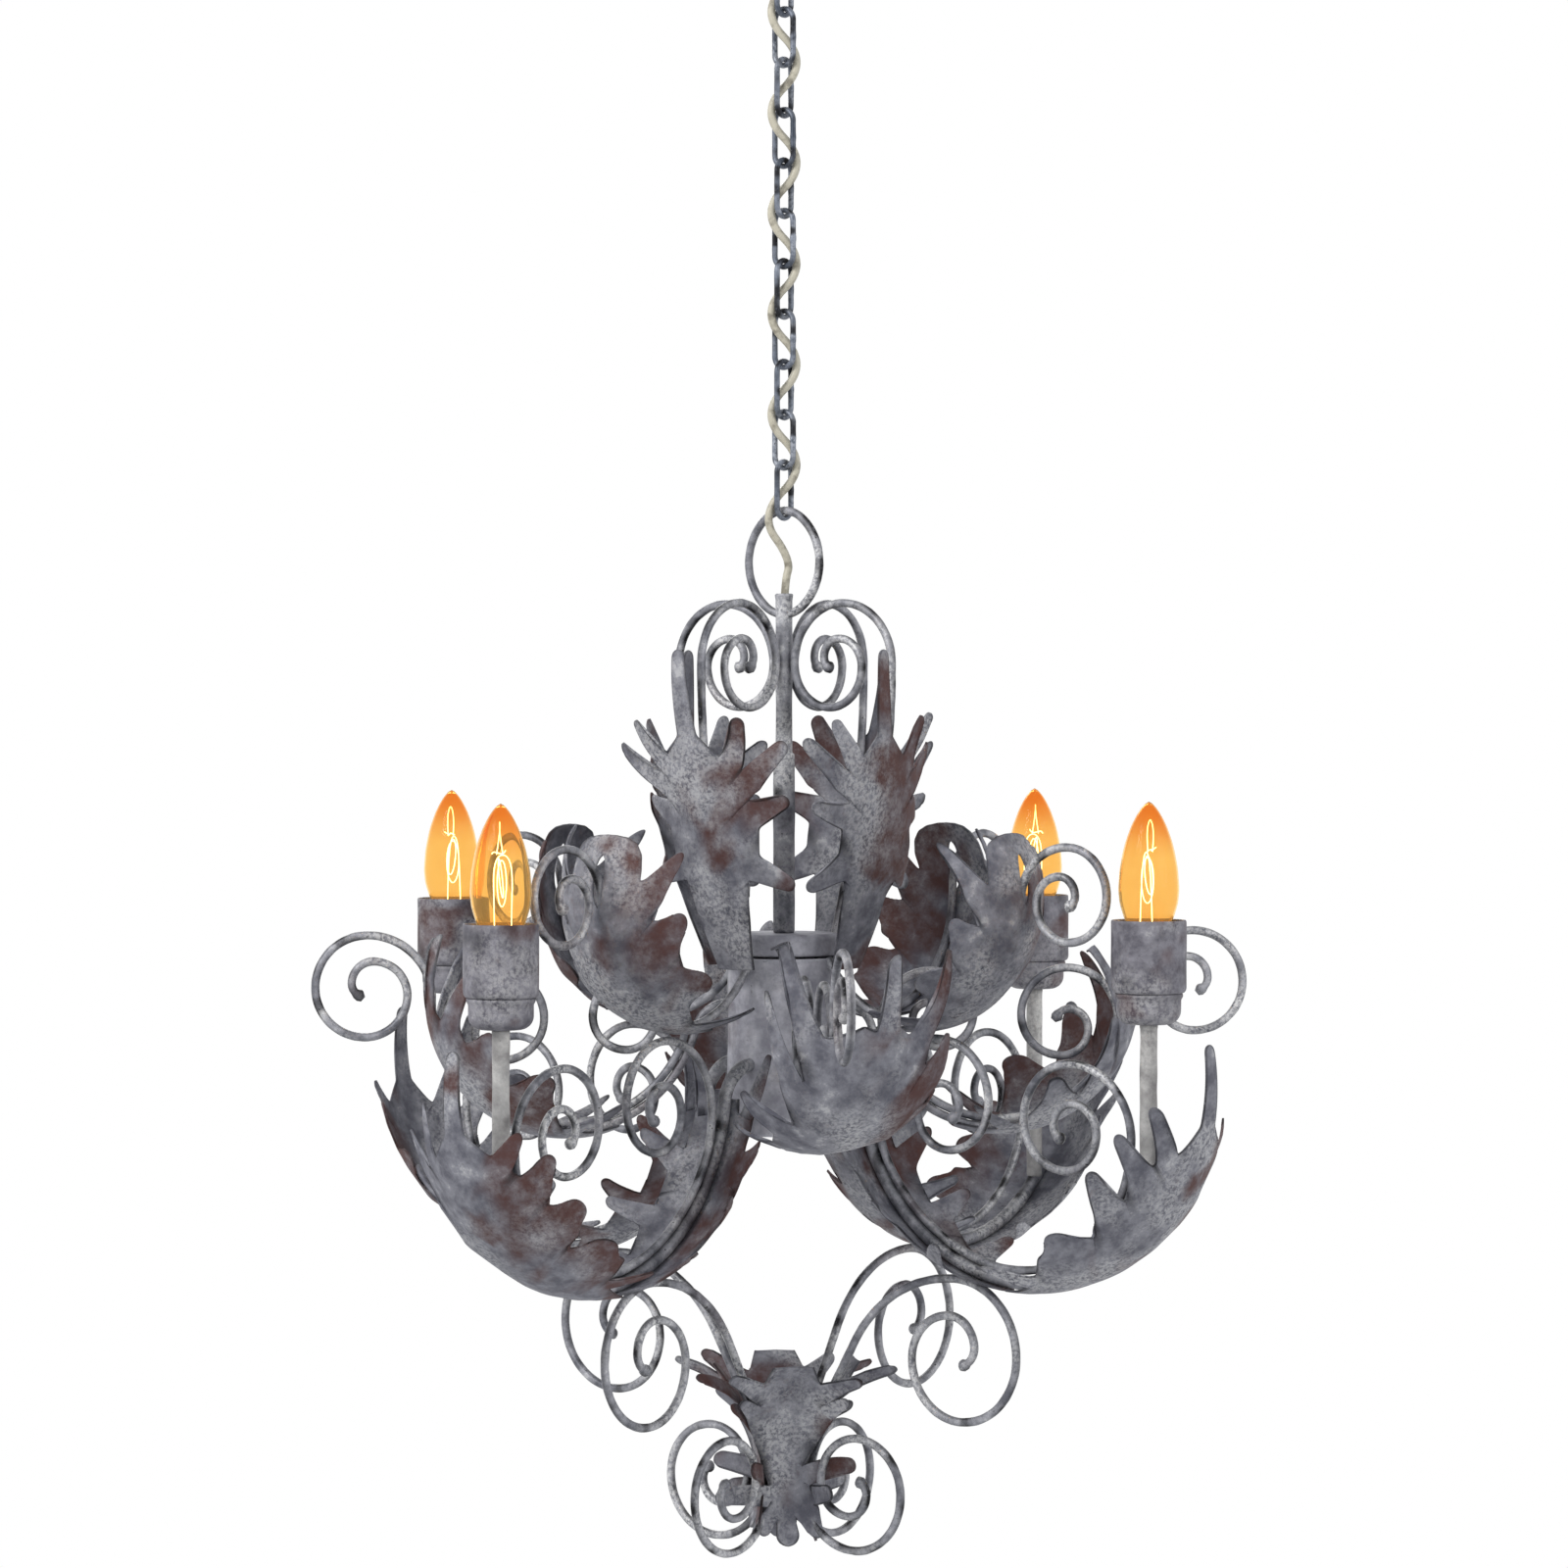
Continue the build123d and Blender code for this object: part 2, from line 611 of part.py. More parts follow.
# Lyres: a bar lying in each candle arm, with a scroll at both ends
lyre_bend = ARM_BEND - ARM_TUBE / 2 - SEAT_GAP - BAR / 2
lyre_start = on_circle(ARM_R, ARM_LEVEL, lyre_bend, LYRE_SPLIT)
lyre_room = CANDLE_R - STEM_D / 2 - LYRE_CLEARANCE - BAR / 2 - ARM_R
split_cos = cos(radians(LYRE_SPLIT))
lyre_out_bend = (lyre_room - lyre_bend * split_cos) / (1 - split_cos)
lyre_out = [(lyre_out_bend, 360 - LYRE_SPLIT)] + quarters(LYRE_OUT_SPIRAL, 1)
lyre_in = [(lyre_bend, LYRE_IN_AT - LYRE_SPLIT), (LYRE_IN_BEND, 180 - LYRE_IN_AT)]
lyre_in += quarters(LYRE_IN_SPIRAL, -1)
lyre_outer = bent_bar(lyre_start, LYRE_SPLIT + 90, lyre_out, BAR)
lyre_inner = bent_bar(lyre_start, LYRE_SPLIT - 90, lyre_in, BAR)
with BuildPart() as lyre:
    add(lyre_outer)
    add(lyre_inner)
ring_of(lyre.part, "arm_lyres")

arm_leaf_r = ARM_BEND + ARM_TUBE / 2 + SEAT_GAP
outer_leaf = leaf(
    (ARM_R, level(ARM_LEVEL)),
    arm_leaf_r,
    OUTER_LEAF_ANGLES,
    OUTER_LEAF_CUP,
    OUTER_LEAF_BASE,
    OUTER_FINGERS,
    OUTER_LEAF_TOP,
    OUTER_LEFT_FINGERS,
)
ring_of(outer_leaf, "arm_outer_leaves")
inner_leaf = leaf(
    (ARM_R, level(ARM_LEVEL)),
    arm_leaf_r,
    INNER_LEAF_ANGLES,
    INNER_LEAF_CUP,
    INNER_LEAF_BASE,
    INNER_FINGERS,
    INNER_LEAF_TOP,
)
ring_of(inner_leaf, "arm_inner_leaves")

# Scroll arms on the diagonals, with their own lyres and leaves
side_root = on_circle(SIDE_R, SIDE_LEVEL, SIDE_BEND, SIDE_ROOT)
side_turn = 270 - SIDE_ROOT
side_elbow = (side_root[0] - CAN_R + CAN_WALL) / sin(radians(side_turn))
side_start = (CAN_R - CAN_WALL, side_root[1] + side_elbow * (1 - cos(radians(side_turn))))
side_moves = [(side_elbow, -side_turn), (SIDE_BEND, 360 - SIDE_ROOT)] + quarters(SIDE_SPIRAL, -1)
each_of(coped(bent_bar(side_start, 0, side_moves, BAR)), "scroll_arm", STEP / 2)

side_lyre_bend = SIDE_BEND - BAR - SEAT_GAP
side_lyre_start = on_circle(SIDE_R, SIDE_LEVEL, side_lyre_bend, 270)
side_first_turn = 180 - SIDE_LYRE_SPREAD
side_out = [(side_lyre_bend, SIDE_LYRE_SPREAD), (SIDE_LYRE_OUT[0], side_first_turn)]
side_out += quarters(SIDE_LYRE_OUT[1:], 1)
side_in = [(side_lyre_bend, -SIDE_LYRE_SPREAD), (SIDE_LYRE_IN[0], -side_first_turn)]
side_in += quarters(SIDE_LYRE_IN[1:], -1)
side_lyre_outer = bent_bar(side_lyre_start, 0, side_out, BAR)
side_lyre_inner = bent_bar(side_lyre_start, 180, side_in, BAR)
with BuildPart() as side_lyre:
    add(side_lyre_outer)
    add(side_lyre_inner)
ring_of(side_lyre.part, "scroll_arm_lyres", STEP / 2)

side_leaf = leaf(
    (SIDE_R, level(SIDE_LEVEL)),
    SIDE_BEND + BAR / 2 + SEAT_GAP,
    SIDE_LEAF_ANGLES,
    SIDE_LEAF_CUP,
    SIDE_LEAF_BASE,
    SIDE_FINGERS,
    SIDE_LEAF_TOP,
    SIDE_LEFT_FINGERS,
)
ring_of(side_leaf, "scroll_arm_leaves", STEP / 2)

# Foot: scrolls that hang from the undersides of the inner leaves, and leaves between them like a bud
foot_reach = arm_leaf_r + LEAF_T + FOOT_LOOP[0] + BAR / 2 + SEAT_GAP
foot_top_z = level(ARM_LEVEL) - sqrt(foot_reach**2 - (ARM_R - FOOT_TOP_R) ** 2) + FOOT_LOOP[0]
foot_turn = 90 - FOOT_OVER_TURN
foot_loop = bent_bar((FOOT_TOP_R, foot_top_z), 0, quarters(FOOT_LOOP, -1), BAR)
foot_moves = [(FOOT_OVER, FOOT_OVER_TURN), (FOOT_RUN, 0), (FOOT_BEND, foot_turn)] + quarters(FOOT_SPIRAL, 1)
foot_bar = bent_bar((FOOT_TOP_R, foot_top_z), 180, foot_moves, BAR)
with BuildPart() as foot_scroll:
    add(foot_loop)
    add(foot_bar)
ring_of(foot_scroll.part, "foot_scrolls")

over = radians(FOOT_OVER_TURN)
under = radians(foot_turn)
foot_waist_r = FOOT_TOP_R - FOOT_OVER * sin(over) - FOOT_RUN * cos(over) - FOOT_BEND * (1 - cos(under))
foot_seat = foot_waist_r * cos(radians(STEP / 2))
foot_leaf_r = FOOT_LEAF_CUP + LEAF_T
foot_leaf_in = foot_seat + BAR / 2 + FOOT_LEAF_GAP - foot_leaf_r + sqrt(foot_leaf_r**2 - foot_seat**2)
foot_waist_z = foot_top_z - FOOT_OVER * (1 - cos(over)) - FOOT_RUN * sin(over) - FOOT_BEND * sin(under)
foot_leaf = leaf(
    (foot_leaf_in + LEAF_T + FOOT_LEAF_BEND, foot_waist_z),
    FOOT_LEAF_BEND,
    FOOT_LEAF_ANGLES,
    FOOT_LEAF_CUP,
    FOOT_LEAF_BASE,
    FOOT_FINGERS,
    FOOT_LEAF_TOP,
)
ring_of(foot_leaf, "foot_leaves", STEP / 2)

# Candles: a stem on each arm, a lampholder of dome, shell and socket, and a screw-in bulb
arm_room = bent_bar(arm_start, 0, arm_moves, ARM_TUBE + 2 * SEAT_GAP)
stem_bottom = ARM_LEVEL + ARM_BEND * sin(radians(candle_at))
with BuildPart() as stem:
    with BuildSketch(Plane(origin=(CANDLE_R, 0, level(stem_bottom)))):
        Circle(STEM_D / 2)
    extrude(amount=STEM_L)
    add(arm_room, mode=Mode.SUBTRACT)
ring_of(stem.part, "candle_stems")

holder_bottom = stem_bottom - STEM_L
dome_top = holder_bottom - DOME_H
with BuildPart() as dome:
    with BuildSketch(Plane(origin=(CANDLE_R, 0, level(holder_bottom)))):
        Circle(DOME_D / 2)
    extrude(amount=DOME_H)
    fillet(dome.edges().group_by(Axis.Z)[0], DOME_EDGE)
ring_of(dome.part, "holder_domes")

with BuildPart() as shell:
    with BuildSketch(Plane(origin=(CANDLE_R, 0, level(dome_top)))):
        Circle(SHELL_D / 2)
    extrude(amount=SHELL_H)
    with BuildSketch(Plane(origin=(CANDLE_R, 0, level(dome_top - SHELL_WALL)))):
        Circle(SHELL_D / 2 - SHELL_WALL)
    extrude(amount=SHELL_H, mode=Mode.SUBTRACT)
ring_of(shell.part, "holder_shells")

socket_bottom = dome_top - SHELL_WALL
socket_floor = SOCKET_H - CAP_H - SOCKET_CLEARANCE
with BuildPart() as socket:
    with BuildSketch(Plane(origin=(CANDLE_R, 0, level(socket_bottom)))):
        Circle(SOCKET_D / 2)
    extrude(amount=SOCKET_H)
    with BuildSketch(Plane(origin=(CANDLE_R, 0, level(socket_bottom - socket_floor)))):
        Circle(CAP_D / 2 + SOCKET_CLEARANCE)
    extrude(amount=SOCKET_H, mode=Mode.SUBTRACT)
ring_of(socket.part, "holder_sockets")

cap_bottom = socket_bottom - socket_floor - SOCKET_CLEARANCE
cap_top = cap_bottom - CAP_H
with BuildPart() as bulb_cap:
    with BuildSketch(Plane(origin=(CANDLE_R, 0, level(cap_bottom)))):
        Circle(CAP_D / 2)
    extrude(amount=CAP_H)
    chamfer(bulb_cap.edges().group_by(Axis.Z)[0], CAP_TAPER)
each_of(bulb_cap.part, "bulb_cap")


def bulb_side(inset):
    """Half profile of the candle bulb from neck to round tip, drawn in by an inset."""
    foot_z = level(cap_top)
    neck = (CANDLE_R + CAP_D / 2 - inset, foot_z)
    shoulder = (CANDLE_R + BULB_SHOULDER[0] - inset, foot_z + BULB_SHOULDER[1])
    widest = (CANDLE_R + BULB_D / 2 - inset, foot_z + BULB_WIDEST)
    waist = (CANDLE_R + BULB_WAIST[0] - inset, foot_z + BULB_WAIST[1])
    tip = (CANDLE_R, foot_z + BULB_H - inset)
    return Spline(neck, shoulder, widest, waist, tip, tangents=((0.5, 1), (-1, 0)))


with BuildPart() as bulb_glass:
    with BuildSketch(Plane.XZ):
        with BuildLine():
            outside = bulb_side(0)
            inside = bulb_side(GLASS_T)
            Line(outside @ 1, inside @ 1)
            Line(outside @ 0, inside @ 0)
        make_face()
    revolve(axis=Axis((CANDLE_R, 0, 0), (0, 0, 1)))
each_of(bulb_glass.part, "bulb_glass")

leg = FILAMENT_W / 3
filament_moves = [
    (FILAMENT_H, 0),
    (leg / 2, -180),
    (FILAMENT_DIP, 0),
    (leg / 2, 180),
    (FILAMENT_DIP, 0),
    (leg / 2, -180),
    (FILAMENT_H, 0),
]
filament = bent_bar((CANDLE_R - FILAMENT_W / 2, level(cap_top)), 90, filament_moves, FILAMENT_D)
each_of(filament, "bulb_filament")
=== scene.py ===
"""Looks of an iron chandelier: forged scrolls, sheet leaves, a woven flex on a chain and amber candle bulbs.

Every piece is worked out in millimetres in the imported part's frame and written to its mesh in metres.
Arms lie along +X, +Y, -X and -Y; the scroll arms lie on the diagonals between them.
"""

import logging
from dataclasses import dataclass, field, replace
from enum import Enum
from math import asin, atan2, cos, degrees, pi, radians, sin, sqrt

import bmesh
import bpy
import numpy as np
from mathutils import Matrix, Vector


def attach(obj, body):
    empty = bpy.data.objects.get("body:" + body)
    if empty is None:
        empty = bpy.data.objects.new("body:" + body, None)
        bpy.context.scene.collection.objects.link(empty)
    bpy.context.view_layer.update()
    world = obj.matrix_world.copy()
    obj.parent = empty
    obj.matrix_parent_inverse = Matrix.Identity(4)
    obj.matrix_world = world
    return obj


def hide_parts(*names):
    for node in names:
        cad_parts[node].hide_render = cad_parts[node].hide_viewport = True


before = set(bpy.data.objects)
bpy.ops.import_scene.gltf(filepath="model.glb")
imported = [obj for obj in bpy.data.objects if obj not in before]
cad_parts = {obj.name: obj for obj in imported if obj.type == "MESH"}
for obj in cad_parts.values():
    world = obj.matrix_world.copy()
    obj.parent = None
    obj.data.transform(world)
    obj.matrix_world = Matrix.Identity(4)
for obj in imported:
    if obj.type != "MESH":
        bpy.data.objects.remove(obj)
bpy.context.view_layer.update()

LOG = logging.getLogger("chandelier")
Array = np.ndarray
Socket = bpy.types.NodeSocket
Point = tuple[float, float]
Colour = tuple[float, ...]
Moves = list[Point]
Fingers = tuple[tuple[float, ...], ...]

MM = 0.001
ARMS = 4
ARM_STEP = 360 / ARMS
DIAGONAL = ARM_STEP / 2
CENTRE = (0.0, 0.0)
RING_TOP = -362.2
SEAT_GAP = 0.25
BAR = 5.0
ARM_TUBE = 8.0
LEAF_SHEET = 1.2
CAN_R = 34.0
CAN_TOP = 255.0
HOOK_Z = -40.0
TUBE_TOP = 52.0
FOOT_SPINE = 105.0
FOOT_CUP = 60.0
FOOT_LEAF_GAP = 0.35
WAVE_CELL = 34.0
RIPPLE_CELL = 15.0
WEAR_CELL = 16.0
STAIN_CELL = 12.0
DARK_CELL = 13.0
RUST_CELL = 24.0
SPOT_CELL = 9.0
EDGE_WEAR_MM = 1.5
RUST_LEAN = 0.021
# Strength of the painted shade that darkens each bar's two sides in its own plane, drawn as dark outlines.
PAINTED_EDGE_SHADE = 0.8


def level(drop: float) -> float:
    """Height of a point a drop below the top of the hanging ring."""
    return RING_TOP - drop


def tint(red: int, green: int, blue: int) -> Colour:
    """Linear colour of a screen colour given from 0 to 255."""
    parts = np.array([red, green, blue]) / 255
    linear = np.where(parts <= 0.04045, parts / 12.92, ((parts + 0.055) / 1.055) ** 2.4)
    return (*linear.tolist(), 1.0)


def smooth_step(values: Array, low: float, high: float) -> Array:
    """Ease from 0 at low to 1 at high: x * x * (3 - 2 * x) of the clipped share."""
    share = np.clip((values - low) / (high - low), 0, 1)
    return share * share * (3 - 2 * share)


def lattice_noise(points: Array, cell: float, seed: int) -> Array:
    """Smooth noise from -1 to 1: hashed values at lattice corners, eased between by the three shares.

    Args:
        points: places in mm, with x, y and z on the last axis.
        cell: size of a lattice cell in mm.
        seed: picks one pattern.

    Returns:
        One value for each point.
    """
    scaled = points / cell
    base = np.floor(scaled).astype(np.int64)
    share = scaled - base
    share = share * share * (3 - 2 * share)
    total = np.zeros(points.shape[:-1])
    for corner in np.ndindex(2, 2, 2):
        x, y, z = np.moveaxis(base + np.array(corner), -1, 0)
        code = (x * 73856093) ^ (y * 19349663) ^ (z * 83492791) ^ (seed * 40503 + 977)
        code = ((code ^ (code >> 13)) * 1274126177) & 0x7FFFFFFF
        value = ((code ^ (code >> 15)) & 0xFFFF) / 32767.5 - 1
        weight = np.where(np.array(corner) == 1, share, 1 - share).prod(axis=-1)
        total += weight * value
    return total


@dataclass
class Surface:
    """Grid of points in mm with a mark for wear and painted shade and one for rust; rows run along the piece, columns
    round or across it.
    """

    points: Array
    wear_and_shade: Array
    rust: Array
    round_columns: bool = True
    round_rows: bool = False

    def quads(self) -> Array:
        """Corner numbers of the grid's faces, each face turning outwards."""
        rows, columns = self.points.shape[:2]
        number = np.arange(rows * columns).reshape(rows, columns)
        if self.round_columns:
            number = np.concatenate([number, number[:, :1]], axis=1)
        if self.round_rows:
            number = np.concatenate([number, number[:1]], axis=0)
        corners = (number[:-1, :-1], number[:-1, 1:], number[1:, 1:], number[1:, :-1])
        return np.stack(corners, axis=-1).reshape(-1, 4)


def plain_surface(points: Array, rust: float = 0.0, **closing: bool) -> Surface:
    """Surface with no worn edges and even rust."""
    flat = np.zeros(points.shape[:2])
    return Surface(points, flat, flat + rust, **closing)


def mesh_object(name: str, surfaces: list[Surface]) -> bpy.types.Object:
    """Mesh of several grids, its poles closed, with its marks of wear and painted shade and of rust as attributes.

    Args:
        name: the piece's name.
        surfaces: the grids that make it up.

    Returns:
        The new object at the origin, linked to the scene.
    """
    sizes = [s.wear_and_shade.size for s in surfaces]
    starts = np.concatenate([[0], np.cumsum(sizes)[:-1]])
    points = np.concatenate([s.points.reshape(-1, 3) for s in surfaces]) * MM
    faces = np.concatenate([s.quads() + start for s, start in zip(surfaces, starts)])
    mesh = bpy.data.meshes.new(name)
    mesh.vertices.add(len(points))
    mesh.vertices.foreach_set("co", points.astype(np.float32).ravel())
    mesh.loops.add(faces.size)
    mesh.loops.foreach_set("vertex_index", faces.astype(np.int32).ravel())
    mesh.polygons.add(len(faces))
    mesh.polygons.foreach_set("loop_start", np.arange(0, faces.size, 4, dtype=np.int32))
    mesh.polygons.foreach_set("use_smooth", np.ones(len(faces), dtype=bool))
    mesh.update(calc_edges=True)
    for mark in ("wear_and_shade", "rust"):
        values = np.concatenate([getattr(s, mark).ravel() for s in surfaces])
        mesh.attributes.new(mark, "FLOAT", "POINT").data.foreach_set("value", values.astype(np.float32))
    work = bmesh.new()
    work.from_mesh(mesh)
    bmesh.ops.remove_doubles(work, verts=work.verts, dist=1e-6)
    bmesh.ops.dissolve_degenerate(work, edges=work.edges, dist=1e-7)
    work.to_mesh(mesh)
    work.free()
    piece = bpy.data.objects.new(name, mesh)
    bpy.context.scene.collection.objects.link(piece)
    return piece


class Nodes:
    """Writes nodes into a tree."""

    def __init__(self, tree: bpy.types.NodeTree) -> None:
        """Take the tree to write in."""
        self.tree = tree

    def feed(self, socket: Socket, value: object) -> None:
        """Link a socket to another, or set its value."""
        if isinstance(value, Socket):
            self.tree.links.new(value, socket)
        else:
            socket.default_value = value

    def node(self, kind: str, settings: dict | None = None, **sockets: object) -> bpy.types.Node:
        """New node with its settings and its sockets, whose names have _ for a space."""
        made = self.tree.nodes.new(kind)
        for key, value in (settings or {}).items():
            setattr(made, key, value)
        for key, value in sockets.items():
            self.feed(made.inputs[key.replace("_", " ")], value)
        return made

    def numbered(self, kind: str, settings: dict, values: dict[int, object], output: int = 0) -> Socket:
        """Output of a new node whose sockets are fed by number."""
        made = self.node(kind, settings)
        for index, value in values.items():
            self.feed(made.inputs[index], value)
        return made.outputs[output]

    def math(self, kind: str, first: object, second: object) -> Socket:
        """Result of one sum on two values, kept from 0 to 1."""
        return self.numbered("ShaderNodeMath", {"operation": kind, "use_clamp": True}, {0: first, 1: second})

    def times(self, first: object, second: object) -> Socket:
        """Product of two values."""
        return self.math("MULTIPLY", first, second)

    def plus(self, first: object, second: object) -> Socket:
        """Sum of two values, at most 1."""
        return self.math("ADD", first, second)

    def mix(self, share: object, first: object, second: object) -> Socket:
        """Colour between two colours."""
        return self.numbered("ShaderNodeMix", {"data_type": "RGBA"}, {0: share, 6: first, 7: second}, 2)


class Recipe(Nodes):
    """Writes the nodes of one material."""

    def __init__(self, name: str) -> None:
        """Start a material with its shader and object coordinates."""
        self.material = bpy.data.materials.new(name)
        self.material.use_nodes = True
        super().__init__(self.material.node_tree)
        self.shader = self.tree.nodes["Principled BSDF"]
        self.place = self.node("ShaderNodeTexCoord").outputs["Object"]

    def noise(self, scale: float, detail: float = 4.0, rough: float = 0.6) -> Socket:
        """Noise value over the object, with a scale in features per metre."""
        sockets = {"Vector": self.place, "Scale": scale, "Detail": detail, "Roughness": rough}
        return self.node("ShaderNodeTexNoise", **sockets).outputs[0]

    def mark(self, name: str) -> Socket:
        """Value of a mesh attribute."""
        return self.node("ShaderNodeAttribute", {"attribute_name": name}).outputs["Fac"]

    def ease(self, value: object, low: float, high: float, to_low: float = 0, to_high: float = 1) -> Socket:
        """Value eased from one range into another."""
        ranges = {"From_Min": low, "From_Max": high, "To_Min": to_low, "To_Max": to_high}
        settings = {"interpolation_type": "SMOOTHSTEP"}
        return self.node("ShaderNodeMapRange", settings, Value=value, **ranges).outputs[0]

    def bump(self, height: object, strength: float, depth_mm: float) -> None:
        """Surface relief from a height."""
        made = self.node("ShaderNodeBump", Height=height, Strength=strength, Distance=depth_mm * MM)
        self.tree.links.new(made.outputs[0], self.shader.inputs["Normal"])

    def set(self, **sockets: object) -> None:
        """Set or link the shader's own sockets."""
        for key, value in sockets.items():
            self.feed(self.shader.inputs[key.replace("_", " ")], value)


PIT = tint(22, 21, 24)
RUST = tint(82, 54, 50)
BROAD = (17.0, 3.0)
STAIN = (31.0, 5.0, 0.7)
MIDDLE = (75.0, 5.0, 0.65)
FINE = (420.0, 3.0, 0.7)
GRAIN = (1500.0, 2.0)
LOW_GLOSS = 0.2


@dataclass(frozen=True)
class WeatheredMetal:
    """Aged metal: mottled ground, pale limewash, dark pits, worn edges, painted shade along the bars' sides, and rust
    where it is marked.
    """

    name: str
    ground: Colour
    shade: Colour
    limewash: Colour
    limewash_share: float
    rust_share: float
    metallic: float
    roughness: Point
    relief_mm: float
    pit_share: float = 0.5

    def build(self) -> bpy.types.Material:
        """Mix the layers, roughness and relief from noise of several sizes."""
        recipe = Recipe(self.name)
        broad, middle, fine, grain, stain = (recipe.noise(*size) for size in (BROAD, MIDDLE, FINE, GRAIN, STAIN))
        wash = recipe.times(recipe.ease(broad, 0.40, 0.66), recipe.ease(fine, 0.36, 0.62))
        wash = recipe.plus(wash, recipe.ease(middle, 0.60, 0.74))
        patch = recipe.plus(recipe.mark("rust"), recipe.ease(stain, 0.60, 0.74, 0, 0.5))
        patch = recipe.times(patch, recipe.ease(middle, 0.70, 0.35, 0.55, 1))
        pits = recipe.times(recipe.ease(fine, 0.60, 0.72), recipe.ease(middle, 0.42, 0.62))
        # This mark darkens worn edges and dark patches, and on the bars it also paints shade along their sides.
        edge = recipe.times(recipe.mark("wear_and_shade"), recipe.ease(fine, 0.25, 0.5, 0.55, 1))
        colour = recipe.mix(recipe.ease(middle, 0.34, 0.66), self.shade, self.ground)
        colour = recipe.mix(recipe.times(wash, self.limewash_share), colour, self.limewash)
        colour = recipe.mix(recipe.times(patch, self.rust_share), colour, RUST)
        colour = recipe.mix(recipe.times(pits, self.pit_share), colour, PIT)
        recipe.set(Base_Color=recipe.mix(edge, colour, PIT), Metallic=self.metallic, Specular_IOR_Level=LOW_GLOSS)
        recipe.set(Roughness=recipe.ease(middle, 0.3, 0.7, *self.roughness))
        height = recipe.plus(recipe.times(middle, 0.6), recipe.times(fine, 0.3))
        recipe.bump(recipe.plus(height, recipe.times(grain, 0.08)), 0.7, self.relief_mm)
        return recipe.material


@dataclass(frozen=True)
class MottledPlastic:
    """Two shades of one plastic over a fine grain, such as a soiled sheath or a dark moulding.

    spread is the range of noise over which the shades change; grain is the relief's scale, strength and depth.
    """

    name: str
    first: Colour
    second: Colour
    scale: float
    spread: Point
    roughness: Point
    grain: tuple[float, float, float]

    def build(self) -> bpy.types.Material:
        """Blend the two shades, with a roughness that follows them."""
        recipe = Recipe(self.name)
        mottle = recipe.noise(self.scale)
        recipe.set(Base_Color=recipe.mix(recipe.ease(mottle, *self.spread), self.first, self.second))
        recipe.set(Roughness=recipe.ease(mottle, 0.3, 0.7, *self.roughness))
        recipe.bump(recipe.noise(self.grain[0], 2.0), *self.grain[1:])
        return recipe.material


@dataclass(frozen=True)
class AmberGlass:
    """Clear amber glass of a lit bulb, deeper towards its tip and its foot."""

    name: str
    heart: Colour
    ends: Colour
    glow: float

    def build(self) -> bpy.types.Material:
        """Transmit the amber, with a faint glow of the same colour."""
        recipe = Recipe(self.name)
        cloud = recipe.noise(45.0, 2.0)
        depth = recipe.plus(recipe.mark("wear_and_shade"), recipe.ease(cloud, 0.4, 0.8, 0, 0.18))
        colour = recipe.mix(depth, self.heart, self.ends)
        recipe.set(Base_Color=colour, Emission_Color=colour)
        recipe.set(Transmission_Weight=1.0, Roughness=0.03, IOR=1.12, Emission_Strength=self.glow)
        return recipe.material


@dataclass(frozen=True)
class HotWire:
    """White-hot filament."""

    name: str
    hot: Colour
    warm: Colour
    strength: float

    def build(self) -> bpy.types.Material:
        """Glow between two heats along the wire."""
        recipe = Recipe(self.name)
        heat = recipe.mix(recipe.noise(220.0, 1.0), self.hot, self.warm)
        recipe.set(Base_Color=heat, Emission_Color=heat, Emission_Strength=self.strength, Roughness=0.5)
        return recipe.material


class Finish(Enum):
    """The object's finishes, each with the record's slot that it stands for."""

    LEAF = WeatheredMetal(
        "leaf_iron", tint(136, 136, 143), tint(90, 90, 99), tint(196, 195, 196),
        0.70, 0.95, 0.10, (0.62, 0.82), 0.40, 0.28,
    )
    # Paler copy of the leaf iron for the lid, can and base: painted light that offsets the shade the leaves cast on
    # them.
    LIT_CAN = WeatheredMetal(
        "leaf_iron", tint(192, 191, 198), tint(150, 149, 158), tint(224, 223, 223),
        0.62, 0.90, 0.10, (0.62, 0.82), 0.40,
    )
    BAR = WeatheredMetal(
        "bar_iron", tint(164, 164, 170), tint(96, 97, 104), tint(228, 227, 226),
        0.85, 0.45, 0.25, (0.40, 0.64), 0.34, 1.0,
    )
    CHAIN = WeatheredMetal(
        "chain_steel", tint(120, 126, 138), tint(62, 68, 78), tint(186, 190, 198),
        0.60, 0.12, 0.40, (0.36, 0.60), 0.30, 1.0,
    )
    STEM = WeatheredMetal(
        "stem_cream", tint(192, 190, 187), tint(150, 148, 147), tint(220, 218, 214),
        0.60, 0.35, 0.05, (0.55, 0.75), 0.22,
    )
    HOLDER = WeatheredMetal(
        "holder_iron", tint(136, 134, 141), tint(84, 82, 90), tint(188, 186, 186),
        0.55, 0.85, 0.10, (0.50, 0.72), 0.25,
    )
    FLEX = MottledPlastic(
        "flex_cream", tint(190, 184, 166), tint(128, 122, 108),
        140.0, (0.45, 0.72), (0.38, 0.6), (600.0, 0.25, 0.15),
    )
    GLASS = AmberGlass("bulb_amber", tint(236, 204, 140), tint(226, 158, 82), 0.10)
    CAP = WeatheredMetal(
        "bulb_brass", tint(196, 164, 96), tint(150, 118, 62), tint(220, 196, 140),
        0.40, 0.10, 0.85, (0.28, 0.45), 0.10,
    )
    WIRE = HotWire("filament_wire", tint(255, 253, 242), tint(255, 244, 214), 5.0)
    PLASTIC = MottledPlastic(
        "socket_plastic", tint(34, 32, 30), tint(52, 49, 46),
        300.0, (0.35, 0.65), (0.45, 0.65), (1800.0, 0.3, 0.08),
    )


